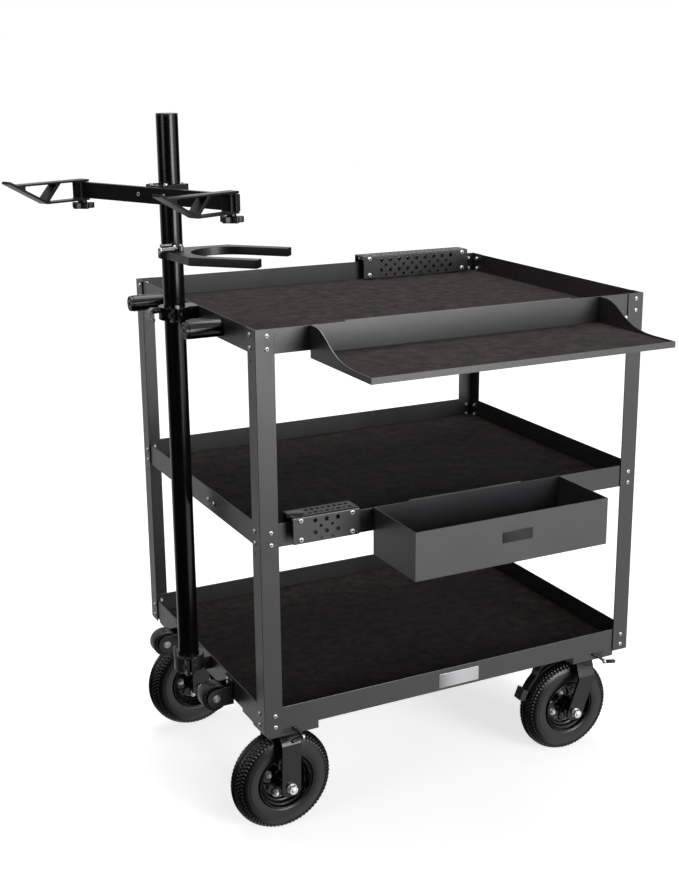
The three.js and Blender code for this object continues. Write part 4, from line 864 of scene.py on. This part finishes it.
def makeBracket(name):
    # perforated saddle: a channel open below, built of its two faces, its top and the rolled bends between them
    half, sheet, roll, deep = bracket[name]["length"] / 2, bracket["sheet"], bracket["roll"], bracket["half"]
    low, high, pitch = -bracket["drop"], bracket["rise"], bracket["pitch"]
    hole, small = bracket["hole"], bracket["smallHole"]
    columns = int((half - 34) / pitch + 1e-6)
    holes = [circle(hole, 28, (i * pitch, z)) for i in range(-columns, columns + 1) for z in (3, -22)]
    holes += [circle(small, 22, ((i + 0.5) * pitch, z)) for i in range(-columns, columns) for z in (-9.5, -34.5)]
    face = moved(plate(rounded(rectangle(-half, low, half, high - roll), 0.6, 3), holes, 0, sheet, 0.15), upright)
    spots = np.arange(-half + bracket["blockIn"] + bracket["disc"] + 9, half - 8, pitch / 2)
    holes = [circle(hole, 28, (x, 10)) for x in spots]
    holes += [circle(hole if i % 2 else small, 26, (x, -10)) for i, x in enumerate(spots)]
    top = rounded(rectangle(-half, roll - deep, half, deep - roll), 0.6, 3)
    top = plate(top, holes, high - sheet, high, 0.15)
    bend = np.concatenate([circle(roll, 10, (0, 0), 0, 90, False),
            circle(roll - sheet, 10, (0, 0), 90, -90, False)])
    parts = [moved(face, shift(0, deep, 0)), moved(face, shift(0, sheet - deep, 0)), top]
    for hand in (-1, 1):
        strip = extruded(bend * [hand, 1], -half, half)
        parts.append(moved(strip, upright, toYZ, shift(0, hand * (deep - roll), high - roll)))
    place = shift(*bracket[name]["place"]), cart
    makePiece(name + "BracketChannel", parts, "powder_coat", "frame", place, [name + "_bracket"], sharp=20,
            level=True)
    # the blocks stand astride the tray's wall and its felt, so each is cut away over them
    inner, ends = deep - sheet, (bracket["blockIn"] - half, half - bracket["blockIn"])
    blocks = [block((x - 8, -inner, 1), (x + 8, inner, high - sheet)) for x in ends]
    blocks += [block((x - 8, -inner, low + 3), (x + 8, -3, 1)) for x in ends]
    makePiece(name + "BracketBlocks", blocks, "black_plastic", "frame", place, bevel=0.8)
    disc = turned([(0, high), (15, high), (16, high + 0.4), (15.4, high + 0.9), (0, high + 0.9)], 56)
    makePiece(name + "BracketDisc", [moved(disc, shift(ends[0], 0, 0))], "bin_coat", "frame", place, sharp=40)
    spots = [(towards("y", hand), (x, hand * deep, z)) for x in (16 - half, half - 16) for z in (7.5, -32.5)
            for hand in (-1, 1)]
    bright = [lying(buttonHead(5.8, 3.2, 36), *spot) for spot in spots]
    # black discs in the bracket screws' sockets: painted shade
    makePiece(name + "BracketSocketShade", socketShadeDiscs(spots, 2.2, 2.2), "black_plastic", "frame", place)
    for hand, y in ((-1, -12), (-1, 12), (1, -12), (1, 12)):
        nut = hexNut(8, 3.5, 4), threadedEnd(2.4, 6.5)
        bright += [lying(part, towards("x", hand), (hand * (half - 10), y, 7)) for part in nut]
    makePiece(name + "BracketBolts", bright, "zinc_steel", "frame", place, sharp=40)


makeFrame()
makeHandles()
makePole()
makeRollers()
print("stage: frame, handles, pole and rollers made")
makeFork()
makeCrossBar()
makeBracket("short")
makeBracket("long")
print("stage: fork, bar and brackets made")


# studio: brightness of the paper near and far, light of the surroundings, and the shades mirrored in the cart
# by the angle from the camera's side (right positive): a bright strip in the dark, pale behind and overhead
studio = {"floorNear": 0.72, "floorFar": 1.0, "paper": "#efefef", "skyDiffuse": 0.09, "roomGlow": 1.1,
        "room": [(-180, "#d8d8d8"), (-120, "#c0c0c0"), (-96, "#303030"), (-60, "#101010"), (34, "#101010"),
            (52, "#ffffff"), (88, "#ffffff"), (104, "#181818"), (150, "#202020"), (172, "#d8d8d8")],
        "overhead": "#d0d0d0", "aim": (0.1, 0.0, 0.7),
        "lamps": {"keySoftbox": {"place": (1.3, -3.8, 1.3), "size": 1.8, "power": 98},
            "leftSoftbox": {"place": (-3.6, -1.2, 1.8), "size": 1.4, "power": 18},
            "topSoftbox": {"place": (0.2, 0.5, 3.4), "size": 2.2, "power": 66}}}


def addRoom(tree, output, plain, kind, way, forward):
    # mirrored rays see the room's shades by the direction they run, all other rays the plain shader
    a = math.radians(view["azimuth"])
    axes = []
    for axis in ((math.sin(a), -math.cos(a), 0), (math.cos(a), math.sin(a), 0)):
        along = {0: way, 1: [forward * share for share in axis]}
        axes.append(addNode(tree, "VectorMath", along, operation="DOT_PRODUCT").outputs["Value"])
    angle = addNode(tree, "Math", {0: axes[1], 1: axes[0]}, operation="ARCTAN2")
    share = addNode(tree, "MapRange", {"Value": angle, "From Min": -math.pi, "From Max": math.pi})
    stops = [((degrees + 180) / 360, colour) for degrees, colour in studio["room"]]
    level = addNode(tree, "ValToRGB", {"Fac": share}, stops)
    height = addNode(tree, "SeparateXYZ", {0: way}).outputs["Z"]
    above = addNode(tree, "MapRange", {"Value": height, "From Min": forward * 0.3, "From Max": forward * 0.7})
    shade = addNode(tree, "Mix", {"Factor": above, "A": level, "B": linear(studio["overhead"])},
            data_type="RGBA", blend_type="LIGHTEN").outputs["Result"]
    room = addNode(tree, kind, {"Color": shade, "Strength": studio["roomGlow"]})
    mirrored = addNode(tree, "LightPath").outputs["Is Glossy Ray"]
    addNode(tree, output, {0: addNode(tree, "MixShader", {0: mirrored, 1: plain, 2: room})})


def seenRays(tree):
    # 1 for rays straight from the camera or through a clear piece
    path = addNode(tree, "LightPath").outputs
    rays = {0: path["Is Camera Ray"], 1: path["Is Transmission Ray"]}
    return addNode(tree, "Math", rays, operation="MAXIMUM")


def makeStudio():
    # pale seamless floor, white surroundings and large soft lamps
    bpy.ops.mesh.primitive_plane_add(size=30, location=(0, 0, 0))
    floor = bpy.context.object
    floor.name = "studioFloor"
    material = bpy.data.materials.new("studioPaper")
    tree = emptyTree(material)
    # the paper brightens from 1 m to 3 m out, so that it meets the white surroundings without a horizon
    place = addNode(tree, "TexCoord").outputs["Object"]
    out = addNode(tree, "VectorMath", {0: place}, operation="LENGTH").outputs["Value"]
    spread = addNode(tree, "MapRange", {"Value": out, "From Min": 1.0, "From Max": 3.0,
            "To Min": studio["floorNear"], "To Max": studio["floorFar"]})
    glow = addNode(tree, "Math", {0: seenRays(tree), 1: spread}, operation="MULTIPLY")
    paper = addNode(tree, "BsdfDiffuse", {"Color": linear(studio["paper"])})
    shine = addNode(tree, "Emission", {"Color": (1, 1, 1, 1), "Strength": glow})
    both = addNode(tree, "AddShader", {0: paper, 1: shine})
    incoming = addNode(tree, "NewGeometry").outputs["Incoming"]
    addRoom(tree, "OutputMaterial", both, "Emission", incoming, -1)
    floor.data.materials.append(material)

    world = bpy.data.worlds.new("studioWorld")
    tree = emptyTree(world)
    strength = addNode(tree, "MapRange", {"Value": seenRays(tree), "To Min": studio["skyDiffuse"]})
    sky = addNode(tree, "Background", {"Color": (1, 1, 1, 1), "Strength": strength})
    direction = addNode(tree, "TexCoord").outputs["Generated"]
    addRoom(tree, "OutputWorld", sky, "Background", direction, 1)
    bpy.context.scene.world = world

    for name, lamp in studio["lamps"].items():
        light = bpy.data.lights.new(name, "AREA")
        light.shape, light.size, light.energy = "SQUARE", lamp["size"], lamp["power"]
        softbox = addObject(name, light)
        softbox.location = lamp["place"]
        aim = Vector(studio["aim"]) - Vector(lamp["place"])
        softbox.rotation_euler = aim.to_track_quat("-Z", "Y").to_euler()
        softbox.visible_camera = False


def makeCamera():
    data = bpy.data.cameras.new("photoCamera")
    data.sensor_fit, data.sensor_width, data.clip_end = "HORIZONTAL", 36, 100
    data.lens, data.shift_x, data.shift_y = view["lens"], view["shiftX"], view["shiftY"]
    camera = addObject("photoCamera", data)
    a, e = math.radians(view["azimuth"]), math.radians(view["elevation"])
    ahead = Vector((-math.sin(a) * math.cos(e), math.cos(a) * math.cos(e), -math.sin(e)))
    camera.location = view["place"]
    camera.rotation_euler = ahead.to_track_quat("-Z", "Y").to_euler()
    bpy.context.scene.camera = camera


makeStudio()
makeCamera()
bpy.context.scene.view_settings.view_transform = "Standard"

bpy.context.view_layer.update()
print("stage: done")
